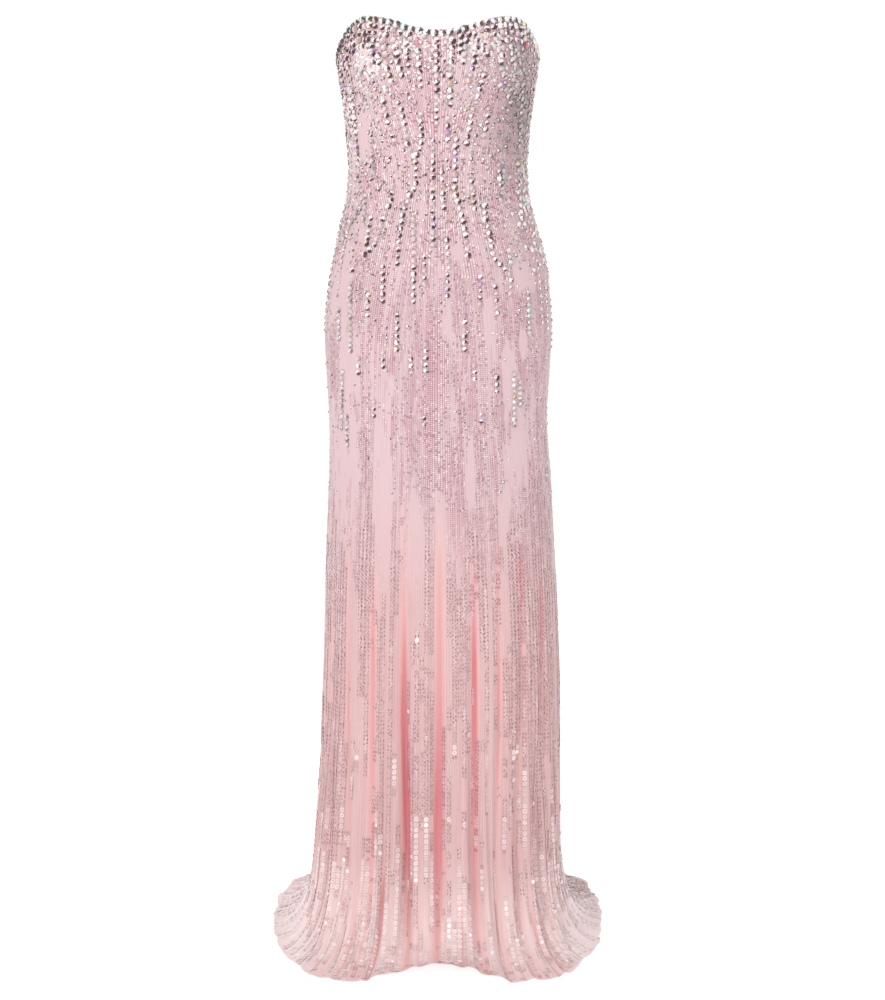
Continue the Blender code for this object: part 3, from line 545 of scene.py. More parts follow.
# Beaded cloth: each string is a row of small beads, (1 - (2f - 1)²) across it and nearly so along it.
# Strings double or halve so that their pitch stays near that wanted, and noise stretched along
# them makes them start and end unevenly round the bare patches. Groups of strings are pink or
# pale, some beads are dark or bright, and each bead is painted lighter on its crown with painted
# shade between beads. Then come paler cloth at the hem and on the lobes as painted light, plain
# threads, painted shade in the hollows and valleys, and grey on the right of the bust with painted
# shade on the right lobe.
def beadedCloth(wire):
    uv = wire.node("ShaderNodeUVMap", {"uv_map": "strings"})
    u = uv.node("ShaderNodeSeparateXYZ", inputs={"Vector": uv})
    v = u.other("Y")
    pitch, bare, warm, hollowShade = (wire.attribute(k) for k in ("pitch", "bare", "warm", "hollowShade"))
    low, pale, darkened = (wire.attribute(k) for k in ("low", "pale", "darkened"))
    octave = (pitch / beadLook["pitch"]).math("LOGARITHM", 2.0).math("ROUND")
    fine = u * octave.node("ShaderNodeMath", {"operation": "POWER"}, {0: 2.0, 1: octave})
    column, within = fine.math("FLOOR"), fine.math("FRACT")
    shade = wire.node("ShaderNodeTexWhiteNoise", {"noise_dimensions": "1D"}, {"W": column + 0.37})
    off = within * 2 - 1
    ridge = 1 - off * off
    count = v / beadLook["length"] + shade * 3
    along = count.math("FRACT") * 2 - 1
    bead = ridge * (1 - along * along * (0.35 + low * 0.60))
    spot = wire.join(column, count.math("FLOOR"))
    each = wire.node("ShaderNodeTexWhiteNoise", {"noise_dimensions": "2D"}, {"Vector": spot})
    streaks = wire.noise(wire.join(column * 0.61, v * 16), detail=3.0)
    drift = wire.noise(wire.join(u * 0.11, v * 7), detail=1.0)
    group = wire.noise(wire.join(column * 0.21, v * 5 + 9), detail=2.0)
    ragged = (shade - 0.5) * beadLook["ragged"]
    beaded = (streaks * 1.5 + drift * 0.9 + ragged - bare * beadLook["bare"] - 0.84).step(-0.05, 0.12)
    beaded = beaded * (1 - warm * 0.75)
    weave = wire.noise(wire.join(u * 4.5, v * 22), detail=2.0)
    woven = weave.step(0.38, 0.75) * overLook["weave"]
    bareColour = woven.mix(clothColours["bare"], clothColours["bareShade"])
    bareColour = warm.mix(bareColour, clothColours["bareWarm"])
    gapColour = warm.mix(clothColours["gap"], clothColours["gapWarm"])
    beadColour = group.step(0.42, 0.60).mix(clothColours["bead"], clothColours["beadPale"])
    beadColour = warm.mix(beadColour, clothColours["beadWarm"])
    loose = (0.85 - low * 0.20) * (1 - warm * 0.8)
    dark = each.step(1 - beadLook["darkShare"], 1.02 - beadLook["darkShare"]) * loose
    bright = (1 - each).step(1 - beadLook["brightShare"], 1.02 - beadLook["brightShare"]) * loose
    beadColour = bright.mix(dark.mix(beadColour, clothColours["beadDark"]), clothColours["beadBright"])
    # Painted shading of each bead: lighter on its crown, the painted shade colour at its edges and between
    # beads; plus a random tone per column and per group.
    lit = bead.step(0.0, 0.8) * 0.95 + (shade - 0.5) * 0.35 + (group - 0.5) * 0.45
    cloth = (beaded * (0.75 + drift * 0.4)).mix(bareColour, lit.mix(gapColour, beadColour))
    threads = ridge.step(0.45, 1.0) * warm * (streaks + (shade - 0.5) * 0.4).step(0.40, 0.6)
    # Painted light: paler cloth near the hem, lightest on the lobes.
    cloth = (pale * overLook["pale"]).mix(cloth, warm.mix(clothColours["lobe"], clothColours["hem"]))
    cloth = (threads * (1 - pale * 0.5) * overLook["thread"]).mix(cloth, clothColours["thread"])
    # Painted shade in the valleys and creases: reddish, as light bounced inside the folds, stronger on the
    # skirt and varying with noise.
    valleyShadeStrength = (warm * 0.65 + 0.35) * (0.74 + drift * 0.5)
    slight = hollowShade.step(0.10, 0.70) * overLook["hollowShade"] * valleyShadeStrength
    cloth = slight.mix(cloth, clothColours["hollowShade"])
    strong = hollowShade.step(0.42, 0.92) * (overLook["valley"] - pale * 0.40) * valleyShadeStrength
    cloth = strong.mix(cloth, clothColours["valley"])
    # Grey beads on the right of the bust, and painted shade where the right lobe lies in its own shade.
    cloth = (darkened * overLook["shade"]).mix(cloth, clothColours["shade"])
    raised = beaded * bead + threads * 0.35
    relief = {"Height": raised, "Strength": beadLook["bumpStrength"], "Distance": beadLook["bumpHeight"]}
    bump = wire.node("ShaderNodeBump", inputs=relief)
    return {
        "Base Color": cloth,
        "Roughness": 0.60 - beaded * 0.25,
        "Normal": bump,
        "Sheen Weight": 0.10,
        "Sheen Roughness": 0.4,
    }


# Plain woven cloth inside: fine noise stretched along the strings, as colour and as bump.
def insideCloth(wire):
    uv = wire.node("ShaderNodeUVMap", {"uv_map": "strings"})
    u = uv.node("ShaderNodeSeparateXYZ", inputs={"Vector": uv})
    v = u.other("Y")
    weave = wire.noise(wire.join(u * 6, v * 60)) + wire.noise(wire.join(u, v * 900))
    colour = weave.step(0.6, 1.4).mix(clothColours["inside"], clothColours["insidePale"])
    bump = wire.node("ShaderNodeBump", inputs={"Height": weave, "Strength": 0.3, "Distance": 0.0006})
    return {"Base Color": colour, "Roughness": 0.75, "Sheen Weight": 0.1, "Normal": bump}


# Rows of a panel between each two whole levels: fine where the cloth curves.
rowLook = {"bodice": 26, "body": 70, "skirt": 110}


def rowLevels():
    spans = [np.linspace(i, i + 1, count, endpoint=False) for i, count in enumerate(rowLook.values())]
    return np.concatenate(spans + [[3.0]])


# Colours change with height: none at the first height, full after falling by the second.
# The bands near the hem and on the lobes paint light; the low and warm bands are the cloth's own colours.
bandLook = {"low": (1.12, 0.22), "warm": (0.74, 0.34), "pale": (0.17, 0.15), "lobe": (0.16, 0.08)}


def bandShare(name, z):
    start, fall = bandLook[name]
    return ease((start - z) / fall)


# Values that the panel's material reads at each point of its grid.
def panelValues(theta, outer, pitch):
    x, z = outer[..., 0], outer[..., 2]
    wander = 0.90 + 0.10 * np.sin(9 * theta + 13 * z)
    creased = np.clip(-creaseOffset(theta, z) / 0.007, 0, 0.8)
    lobe = ease((np.abs(x) - 0.165) / 0.04) * bandShare("lobe", z)
    return {
        "pitch": pitch,
        "bare": bareness(outer),
        # Less warm on the lobes, which are painted light with the lobe's colour.
        "warm": bandShare("warm", z) * (1 - 0.85 * lobe),
        # Painted shade in the valleys and creases.
        "hollowShade": np.maximum(foldShape(theta, z)[1] * wander, creased),
        "low": bandShare("low", z),
        # Painted light near the hem.
        "pale": bandShare("pale", z),
        # Grey beads on the right of the bust, and painted shade on the right lobe.
        "darkened": np.maximum(dullness(theta, z), 0.50 * lobeShade(outer)),
    }


# Fabric of one panel: an outer grid, the same grid moved in by the wall's thickness, and the
# rim between them.
def panelPiece(name, look, outside, inside):
    shares = np.linspace(0, 1, look["columns"] + 1)
    level, share = np.meshgrid(rowLevels(), shares, indexing="ij")
    theta = panelAngle(look, share, level)
    outer = gownPoint(theta, level)
    inner = outer - gownFrame(theta, level)[0] * wall
    rows, columns = level.shape
    index = np.arange(rows * columns).reshape(rows, columns)
    a, b, c, d = index[:-1, :-1], index[1:, :-1], index[1:, 1:], index[:-1, 1:]
    front = np.stack([a, b, c, d], -1).reshape(-1, 4)
    rear = front[:, ::-1] + rows * columns
    loop = np.concatenate([index[0, ::-1], index[1:, 0], index[-1, 1:], index[-2::-1, -1]])
    rim = np.stack([loop[1:], loop[:-1], loop[:-1] + rows * columns, loop[1:] + rows * columns], -1)
    faces = np.concatenate([front, rear, rim])
    down = np.linalg.norm(np.diff(outer, axis=0), axis=-1)
    v = np.concatenate([np.zeros((1, columns)), np.cumsum(down, 0)])
    width = np.linalg.norm(np.diff(outer, axis=1), axis=-1).sum(1)
    pitch = np.repeat((width * 1000 / look["strings"])[:, None], columns, 1)
    uv = np.stack([share * look["strings"], v], -1).reshape(-1, 2)
    values = panelValues(theta, outer, pitch)
    attributes = {key: (np.tile(value.ravel(), 2), "POINT") for key, value in values.items()}
    points = toFrame(np.concatenate([outer.reshape(-1, 3), inner.reshape(-1, 3)]))
    mesh = meshFrom(name, points, faces, np.tile(uv, (2, 1)), attributes)
    mesh.set_sharp_from_angle(angle=math.radians(60))
    kind = np.concatenate([np.zeros(len(front)), np.ones(len(rear)), np.zeros(len(rim))]).astype(np.int32)
    mesh.polygons.foreach_set("material_index", kind)
    obj = addPiece(name.replace("_panel", "_cloth"), mesh, "gown", "gown_cloth", outside, inside)
    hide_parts(name)


outsideMaterial = newMaterial("beadedCloth", beadedCloth)
insideMaterial = newMaterial("insideCloth", insideCloth)
for panelName, panel in panelLook.items():
    panelPiece(panelName, panel, outsideMaterial, insideMaterial)


# Stamps a small template at many places: each point is place + size·(x·right + y·up + z·out).
# Faces are repeated with their numbers moved on.
def stamped(template, faces, places, right, up, out, sizes):
    local = template[None] * sizes[:, None, None]
    flat = local[..., :1] * right[:, None] + local[..., 1:2] * up[:, None]
    points = places[:, None] + flat + local[..., 2:] * out[:, None]
    shift = np.arange(len(places))[:, None, None] * len(template)
    return points.reshape(-1, 3), (faces[None] + shift).reshape(-1, faces.shape[1])


# Places on the gown's face: the frame there, turned about its normal by spin and tipped a little.
def placesOn(theta, level, lift, spin, tip, rng):
    out, down = gownFrame(theta, level)
    place = gownPoint(theta, level) + out * lift
    right = np.cross(down, out)
    sideways, downwards = rng.normal(0, tip, (len(theta), 1)), rng.normal(0, tip, (len(theta), 1))
    out = unitVectors(out + right * sideways + down * downwards)
    right = unitVectors(right - out * (right * out).sum(1, keepdims=True))
    up = np.cross(out, right)
    c, s = np.cos(spin)[:, None], np.sin(spin)[:, None]
    return toFrame(place), right * c + up * s, up * c - right * s, out


stoneLook = {
    "large": {"sides": 8, "foot": 0.80, "girdle": 0.22, "table": 0.50, "height": 0.64},
    "small": {"sides": 6, "foot": 0, "girdle": 0.05, "table": 0.45, "height": 0.60},
}


# Points of a level ring, turned by a share of a step.
def ring(sides, radius, height, shift=0):
    turn = (np.arange(sides) + shift) * 2 * np.pi / sides
    return np.stack([radius * np.cos(turn), radius * np.sin(turn), height + 0 * turn], -1)


# Cut stone of radius 1: a foot ring, a girdle ring, and a smaller table ring turned half a step,
# with triangles between them and fans over the table and the foot. Small ones have no foot.
def stoneTemplate(look):
    n, height = look["sides"], look["height"]
    points = [ring(n, 1, look["girdle"]), ring(n, look["table"], height, 0.5), [[0, 0, height]]]
    i = np.arange(n)
    j = (i + 1) % n
    top = np.full(n, 2 * n)
    faces = [np.stack([i, j, i + n], -1), np.stack([i + n, j, j + n], -1), np.stack([top, i + n, j + n], -1)]
    if look["foot"]:
        points += [ring(n, look["foot"], 0), [[0, 0, 0]]]
        foot = 2 * n + 1
        faces += [np.stack([i + foot, j + foot, j], -1), np.stack([i + foot, j, i], -1),
                  np.stack([np.full(n, foot + n), j + foot, i + foot], -1)]
    return np.concatenate(points), np.concatenate(faces)


# How unevenly the painted reflections on stones fall: spreads of the painted dark side's direction
# in radians, and of the tone from facet to facet and from stone to stone; and how much each of two
# kinds is muted.
unevenLook = {"turn": 0.45, "facet": 0.30, "stone": 0.22, "table": 0.10, "quiet": 0.70, "lively": 0.05}


# Painted reflections on the facets of foil-backed stones: painted dark where they face the upper
# left, painted white where they face the lower right, and between them the pink of the cloth behind,
# painted as if seen through them. Each stone is turned a little, and some are tinted or muted.
def paintedFacetReflections(count, faces, template, spin, rng, look, paleness, darkened):
    centre = template[faces].mean(1)
    facing = np.arctan2(centre[:, 1], centre[:, 0])[None] + spin[:, None]
    tone = np.cos(facing - np.radians(look["darkSide"]) - rng.normal(0, unevenLook["turn"], (count, 1)))
    onTable = centre[:, 2] > template[:, 2].max() * 0.95
    tone = tone + rng.normal(0, unevenLook["facet"], (count, len(faces)))
    tone = tone + rng.normal(0, unevenLook["stone"], (count, 1)) - unevenLook["table"] * onTable
    shape = (count, len(faces), 1)
    middle = np.array(look["middle"]) * rng.uniform(0.75, 1.25, shape)
    dark = np.array(look["dark"]) * rng.uniform(0.3, 2.2, shape)
    white = np.array([0.97, 0.95, 0.95]) * rng.uniform(0.82, 1.03, shape)
    isDark, isWhite = tone[..., None] > look["darkFrom"], tone[..., None] < look["whiteTo"]
    colour = np.where(isDark, dark, np.where(isWhite, white, middle))
    quiet = rng.uniform(0, 1, (count, 1, 1)) < look["quiet"]
    muted = np.where(quiet, unevenLook["quiet"], unevenLook["lively"])
    colour = colour + (np.array(look["middle"]) - colour) * muted
    colour = colour + (np.array(paleColour) - colour) * paleness
    colour = colour * (1 - darkened[:, None, None] * rng.uniform(0.40, 0.85, shape))
    tints, odds = np.array([t[0] for t in stoneTints]), [t[1] for t in stoneTints]
    tint = tints[rng.choice(len(tints), count, p=odds)][:, None, :]
    colour = np.clip(colour * (1 - (1 - tint) * rng.uniform(0.4, 1.0, shape)), 0, 1)
    return np.concatenate([colour, np.ones(shape)], -1).reshape(-1, 4)


paleColour = (0.80, 0.71, 0.71)
stoneTints = [
    ((1.0, 1.0, 1.0), 0.70), ((1.0, 0.90, 0.90), 0.165), ((0.66, 0.97, 0.90), 0.040),
    ((0.70, 0.58, 1.0), 0.025), ((1.0, 0.86, 0.66), 0.066), ((1.0, 0.34, 0.48), 0.004),
]
# Painted reflections of each kind of stone: the side painted dark, the tones past which facets are painted
# dark or white, and the painted middle and dark colours.
facetLook = {
    "body": {"darkSide": 145, "darkFrom": 0.36, "whiteTo": -0.42, "middle": (0.62, 0.46, 0.48),
             "dark": (0.040, 0.016, 0.020), "quiet": 0.30},
    "edging": {"darkSide": 170, "darkFrom": 0.40, "whiteTo": -0.10, "middle": (0.40, 0.37, 0.36),
               "dark": (0.050, 0.048, 0.042), "quiet": 0.0},
    "small": {"darkSide": 140, "darkFrom": 0.45, "whiteTo": -0.50, "middle": (0.55, 0.43, 0.43),
              "dark": (0.06, 0.030, 0.032), "quiet": 0.40},
    "clear": {"darkSide": 140, "darkFrom": 0.55, "whiteTo": -0.80, "middle": (0.54, 0.465, 0.470),
              "dark": (0.13, 0.10, 0.10), "quiet": 0.50},
}


def crystal(wire):
    return {
        "Base Color": wire.attribute("facet", "Color"),
        "Metallic": 0.20,
        "Roughness": 0.16,
        "Specular IOR Level": 0.30,
    }


crystalMaterial = newMaterial("crystal", crystal)


# Stones at given angles, levels and radii become one piece.
def stonePiece(name, slot, theta, level, radius, seed, look, kind="large", paleness=0.0, tip=0.12):
    rng = np.random.default_rng(seed)
    template, faces = stoneTemplate(stoneLook[kind])
    spin = rng.uniform(0, 2 * np.pi, len(theta))
    place, right, up, out = placesOn(theta, level, 0.0002, spin, tip, rng)
    points, allFaces = stamped(template, faces, place, right, up, out, radius)
    height = place[:, 2] + holdHeight
    darkened = dullness(theta, height) * (1.0 if look == "small" else 0.75)
    colours = paintedFacetReflections(len(theta), faces, template, spin, rng, facetLook[look], paleness, darkened)
    mesh = meshFrom(name, points, allFaces, attributes={"facet": (colours, "FACE")}, smooth=False)
    print(name, len(theta), "stones", len(allFaces), "triangles")
    return addPiece(name, mesh, "gown", slot, crystalMaterial)


edgingLook = {"pitch": 0.0106, "radius": 0.0054, "drop": 0.0044, "fromZip": 0.030, "uneven": (0.9, 1.08)}


# Row of large stones along the top edge, open at the zip: equal steps along the edge's length.
def edgingStones():
    end = math.pi - edgingLook["fromZip"]
    fine = np.linspace(-end, end, 3001)
    edge = gownPoint(fine, np.zeros(len(fine)))
    length = np.concatenate([[0], np.cumsum(np.linalg.norm(np.diff(edge, axis=0), axis=1))])
    count = round(length[-1] / edgingLook["pitch"])
    theta = np.interp((np.arange(count) + 0.5) * length[-1] / count, length, fine)
    drop = edgingLook["drop"] / (around(theta, neckLook, "height") - cupLine)
    rng = np.random.default_rng(4)
    radius = edgingLook["radius"] * rng.uniform(*edgingLook["uneven"], count)
    obj = stonePiece("neck_stones", "edging_stones", theta, drop, radius, 5, "edging")
    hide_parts("neck_stone_edging")


# Lines of large stones on the front: x and height of points along each, in millimetres.
stoneLines = [
    [(-90, 1292), (-86, 1265)], [(-75, 1300), (-69, 1259), (-63, 1241)],
    [(-61, 1300), (-56, 1278), (-53, 1261), (-48, 1247)], [(-43, 1295), (-41, 1268), (-38, 1249)],
    [(-28, 1296), (-24, 1249), (-23, 1234)], [(-1, 1301), (-1, 1183)],
    [(21, 1300), (19, 1265), (17, 1247), (18, 1204)], [(40, 1300), (35, 1262)],
    [(55, 1300), (49, 1262), (43, 1241)],
    [(72, 1300), (68, 1272), (66, 1255), (60, 1238), (54, 1213), (48, 1201), (40, 1152)],
    [(90, 1290), (86, 1261), (93, 1234), (102, 1207)], [(-75, 1217), (-68, 1183), (-60, 1159)],
    [(-56, 1215), (-50, 1204), (-46, 1186), (-41, 1152), (-31, 1138), (-30, 1118), (-30, 1097), (-38, 1084),
     (-48, 1057), (-53, 1024), (-56, 988)],
    [(-23, 1200), (-22, 1152), (-31, 1136)], [(-6, 1153), (-7, 1090), (-6, 1016)], [(14, 1194), (14, 1145)],
    [(27, 1166), (25, 1147), (24, 1090), (31, 1066), (38, 1037), (42, 1001)],
    [(71, 1208), (68, 1179), (62, 1160)],
    [(66, 1074), (66, 1053), (73, 1028), (78, 997), (103, 972), (101, 940)],
    [(-62, 1101), (-64, 1078), (-76, 1049), (-87, 1015), (-113, 990), (-122, 973)],
    [(-118, 1231), (-115, 1188), (-111, 1133)], [(-33, 1057), (-33, 937)], [(-76, 990), (-76, 931)],
    [(-76, 870), (-76, 845)], [(-56, 923), (-57, 867)], [(-111, 860), (-111, 836)], [(-37, 862), (-37, 836)],
    [(-16, 883), (-16, 841)], [(13, 1027), (16, 984)], [(38, 923), (38, 871)], [(60, 976), (59, 929)],
    [(52, 853), (52, 828)], [(83, 835), (83, 810)], [(-89, 800), (-89, 774)],
    [(-19, 779), (-19, 758)], [(61, 784), (61, 766)], [(14, 979), (14, 940)], [(118, 1240), (114, 1150)],
    [(112, 1130), (118, 1050)], [(6, 1120), (9, 1062)], [(47, 1108), (52, 1062)], [(-92, 1056), (-99, 1016)],
    [(84, 1130), (88, 1092)], [(-18, 1004), (-18, 962)], [(80, 962), (84, 921)], [(-96, 950), (-98, 912)],
]


# Lines of clear stones, whose facets are painted with the cloth's pink as if seen through them.
clearLines = [
    [(-122, 965), (-122, 866)], [(127, 950), (129, 888)], [(-134, 838), (-136, 754)],
    [(108, 838), (108, 757)], [(116, 826), (116, 786)], [(-139, 925), (-139, 880)],
    [(-128, 775), (-128, 730)], [(99, 1010), (103, 985)],
    [(-100, 1085), (-104, 1040)], [(93, 1120), (88, 1075)], [(-92, 1150), (-88, 1110)],
    [(-107, 1068), (-123, 1039), (-134, 1014)],
]


# Angle of a point at x and height z, on the front or behind: the oval section's x, turned round.
def angleAt(x, z, behind=False):
    side = np.where(x < 0, bodyAt(z, "left"), bodyAt(z, "right"))
    sine = np.clip(np.abs(x) / side, 0, 0.9999) ** (bodyLook["roundness"] / 2)
    theta = np.sign(x) * np.arcsin(sine)
    return np.where(behind, np.sign(x) * np.pi - theta, theta)


# Points at equal steps along a line of the table.
def alongLine(line, step):
    line = np.array(line, float) / 1000
    length = np.concatenate([[0], np.cumsum(np.linalg.norm(np.diff(line, axis=0), axis=1))])
    t = np.arange(0.5 * step, length[-1] + 0.3 * step, step)
    return np.stack([np.interp(t, length, line[:, 0]), np.interp(t, length, line[:, 1])], -1)


# Which points are more than a distance away from all of the others.
def clearOf(points, others, distance):
    gaps = np.linalg.norm(points[:, None] - others[None], axis=-1)
    return gaps.min(1) > distance


# Point of the gown at an angle and a height above the skirt's folds.
def surface(theta, z):
    return gownPoint(theta, levelAt(theta, z))


stoneRun = {"step": 0.0096, "radius": (0.0035, 0.0049), "apart": 0.0080}
# Behind, the front's lines stop at a height and stay off the zip. Down each side there are lines
# at these angles, each of a number of runs between two lengths, over a stated height.
behindLook = {"top": 1.232, "offZip": 0.012, "uneven": 0.0006}
sideLines = {"angles": (64, 72, 80, 88, 97, 106, 115), "runs": 5, "length": (0.03, 0.11), "foot": 0.86}


# Large stones in lines: angles and heights.
def lineStones():
    rng = np.random.default_rng(21)
    step = stoneRun["step"]
    front = np.concatenate([alongLine(line, step) for line in stoneLines])
    rear = front * [-1, 1] + rng.normal(0, behindLook["uneven"], front.shape)
    rear = rear[(rear[:, 1] < behindLook["top"]) & (np.abs(rear[:, 0]) > behindLook["offZip"])]
    theta = np.concatenate([angleAt(front[:, 0], front[:, 1]), angleAt(rear[:, 0], rear[:, 1], True)])
    z = np.concatenate([front[:, 1], rear[:, 1]])
    angles = sideLines["angles"]
    for degrees in angles + tuple(-angle for angle in angles):
        top = float(around(np.radians(degrees), neckLook, "height")) - 0.014
        for _ in range(sideLines["runs"]):
            low = rng.uniform(sideLines["foot"], top - 0.04)
            run = np.arange(low, min(low + rng.uniform(*sideLines["length"]), top), step)
            theta = np.concatenate([theta, np.radians(degrees + 0 * run + rng.uniform(-2, 2))])
            z = np.concatenate([z, run])
    return theta, z


fringeLook = {
    "angle": 4.3, "last": 170.1, "turn": 0.9, "below": 0.0135, "step": 0.0094,
    "front": (0.020, 0.052), "back": (0.012, 0.040), "backFrom": 75,
}


# Short columns that hang all round below the top edge, at equal steps of angle.
def topStones():
    rng = np.random.default_rng(27)
    theta, z = [], []
    for degrees in np.arange(-170, fringeLook["last"], fringeLook["angle"]):
        turned = np.radians(degrees + rng.uniform(-fringeLook["turn"], fringeLook["turn"]))
        top = float(around(turned, neckLook, "height")) - fringeLook["below"]
        depth = rng.uniform(*fringeLook["front" if abs(degrees) < fringeLook["backFrom"] else "back"])
        run = np.arange(top, top - depth, -fringeLook["step"])
        theta.append(turned + rng.normal(0, 0.006, len(run)))
        z.append(run + rng.normal(0, 0.0008, len(run)))
    return np.concatenate(theta), np.concatenate(z)


smallLook = {
    "count": 21000, "radius": (0.0012, 0.0034), "power": 2.1, "foot": 0.66, "drop": 0.010, "bareFrom": 0.8,
    "nearEdge": 0.40, "sides": 0.55, "bodice": 0.26, "hips": 0.07,
}


# Small stones: dense under the top edge and at the bust's sides, thinning out to the hips.
def smallStones():
    rng = np.random.default_rng(33)
    count = smallLook["count"]
    theta = rng.uniform(-np.pi, np.pi, count)
    edge = around(theta, neckLook, "height")
    z = edge - smallLook["drop"] - rng.uniform(0, 1, count) * (edge - smallLook["foot"])
    degrees = np.abs(np.degrees(theta))
    nearEdge = np.exp(-((edge - z) / 0.040))
    sides = np.exp(-(((degrees - 66) / 26) ** 2)) * np.exp(-(((z - 1.24) / 0.09) ** 2))
    drift = np.sin(degrees * 0.31 + 9 * z) * np.sin(degrees * 0.17 - 31 * z)
    bodice = ease((z - 0.84) / 0.30) * (1 + 0.7 * drift)
    likely = smallLook["hips"] + smallLook["nearEdge"] * nearEdge + smallLook["sides"] * sides
    keep = rng.uniform(0, 1, count) < likely + smallLook["bodice"] * bodice
    theta, z = theta[keep], z[keep]
    keep = bareness(surface(theta, z)) < smallLook["bareFrom"]
    theta, z = theta[keep], z[keep]
    low, high = smallLook["radius"]
    share = rng.uniform(0, 1, len(z)) ** smallLook["power"] * (0.55 + 0.45 * ease((z - 0.95) / 0.2))
    return theta, z, low + (high - low) * share


# Patches of pale stones close together: angle and height of the middle, spread of each, and how
# many stones.
paleLook = [
    (-42, 1.268, 9, 0.022, 110), (24, 1.290, 11, 0.014, 100), (47, 1.245, 8, 0.022, 60),
    (-12, 1.290, 10, 0.011, 60), (-68, 1.19, 10, 0.06, 90), (66, 1.06, 9, 0.05, 80),
    (140, 1.225, 16, 0.012, 110), (-136, 1.220, 16, 0.014, 110), (100, 1.235, 9, 0.015, 50),
    (-101, 1.228, 9, 0.015, 50),
]


def paleStones():
    rng = np.random.default_rng(39)
    theta, z = [], []
    for degrees, height, spread, spreadUp, count in paleLook:
        theta.append(np.radians(rng.normal(degrees, spread * 0.7, count)))
        z.append(rng.normal(height, spreadUp * 0.8, count))
    theta, z = np.concatenate(theta), np.concatenate(z)
    keep = z < around(theta, neckLook, "height") - 0.011
    return theta[keep], z[keep]


edgingStones()
lineTheta, lineZ = lineStones()
topTheta, topZ = topStones()
free = clearOf(surface(topTheta, topZ), surface(lineTheta, lineZ), stoneRun["apart"])
bigTheta = np.concatenate([lineTheta, topTheta[free]])
bigZ = np.concatenate([lineZ, topZ[free]])
sizeRng = np.random.default_rng(45)
# Large stones are a little smaller on the hips, larger on the bust, and smaller beside, where they
# are painted paler as painted light on stones turning away into shade.
bigRadius = sizeRng.uniform(*stoneRun["radius"], len(bigZ)) * np.where(bigZ < 1.0, 0.88, 1)
bigRadius *= np.where(np.abs(bigTheta) > 1.08, 0.70, 1 + 0.10 * ease((bigZ - 1.24) / 0.03))
beside = 0.45 * ease((np.abs(bigTheta) - 1.0) / 0.15) * ease((1.20 - bigZ) / 0.06)
stonePiece("body_stones", "gown_cloth", bigTheta, levelAt(bigTheta, bigZ), bigRadius, 8, "body",
           paleness=beside[:, None, None], tip=0.15)
bigPoints = surface(bigTheta, bigZ)
smallTheta, smallZ, smallRadius = smallStones()
free = clearOf(surface(smallTheta, smallZ), bigPoints, 0.0045)
smallLevel = levelAt(smallTheta, smallZ)[free]
stonePiece("small_stones", "gown_cloth", smallTheta[free], smallLevel, smallRadius[free], 9, "small",
           kind="small", tip=0.3)
paleTheta, paleZ = paleStones()
free = clearOf(surface(paleTheta, paleZ), bigPoints, 0.0040)
paleLevel = levelAt(paleTheta, paleZ)[free]
paleRadius = sizeRng.uniform(0.0026, 0.0042, len(paleZ))[free]
stonePiece("pale_stones", "gown_cloth", paleTheta[free], paleLevel, paleRadius, 10, "body",
           kind="small", paleness=0.72, tip=0.15)
clearX, clearHeight = np.concatenate([alongLine(line, 0.0080) for line in clearLines]).T
clearTheta = np.concatenate([angleAt(clearX, clearHeight), angleAt(clearX, clearHeight, True)])
clearZ = np.tile(clearHeight, 2)
clearRadius = sizeRng.uniform(0.0036, 0.0041, len(clearZ))
stonePiece("clear_stones", "gown_cloth", clearTheta, levelAt(clearTheta, clearZ), clearRadius, 11, "clear",
           paleness=0.10)


# Three sizes of sequin: how far apart their columns and rows are, and their radii.
sequinLook = {
    "spacing": (0.0046, 0.0058, 0.0085),
    "rowPitch": (0.0042, 0.0058, 0.0080),
    "radius": (0.0021, 0.0029, 0.0034),
    "cup": 0.05,
    "sides": 8,
    "triangles": 180000,
}
# Where sequins stand close together on the front: x and height, half width and half height, mm.
denseLook = [
    (-104, 706, 20, 200), (-61, 590, 8, 115), (-10, 428, 9, 195), (33, 428, 12, 150),
    (75, 600, 20, 150), (134, 361, 26, 220), (-70, 330, 8, 120), (-140, 400, 9, 150), (96, 300, 8, 130),
]


denseBehind = strewnEllipses(12, 24, (-170, 170), (200, 800), (9, 24), (100, 210))


# How close together the sequins are, 0 to 1, at points of the cloth.
def density(points):
    return inEllipses(points, denseLook, denseBehind, 2, 0.6)


# Cupped disc of radius 1: a centre point a little below its rim, in a fan of triangles.
def sequinTemplate():
    n = sequinLook["sides"]
    i = np.arange(n)
    points = np.concatenate([ring(n, 1, sequinLook["cup"], 0.5), [[0, 0, 0]]])
    return points, np.stack([i, (i + 1) % n, np.full(n, n)], -1)


# Streaks: random values joined by straight lines along v, one row of values to each column.
def streaks(column, v, cell, seed):
    values = np.random.default_rng(seed).uniform(0, 1, (997, 400))
    at = v / cell
    i = np.floor(at).astype(int) % 399
    t = at - np.floor(at)
    row = np.abs(column).astype(int) % 997
    return values[row, i] * (1 - t) + values[row, i + 1] * t


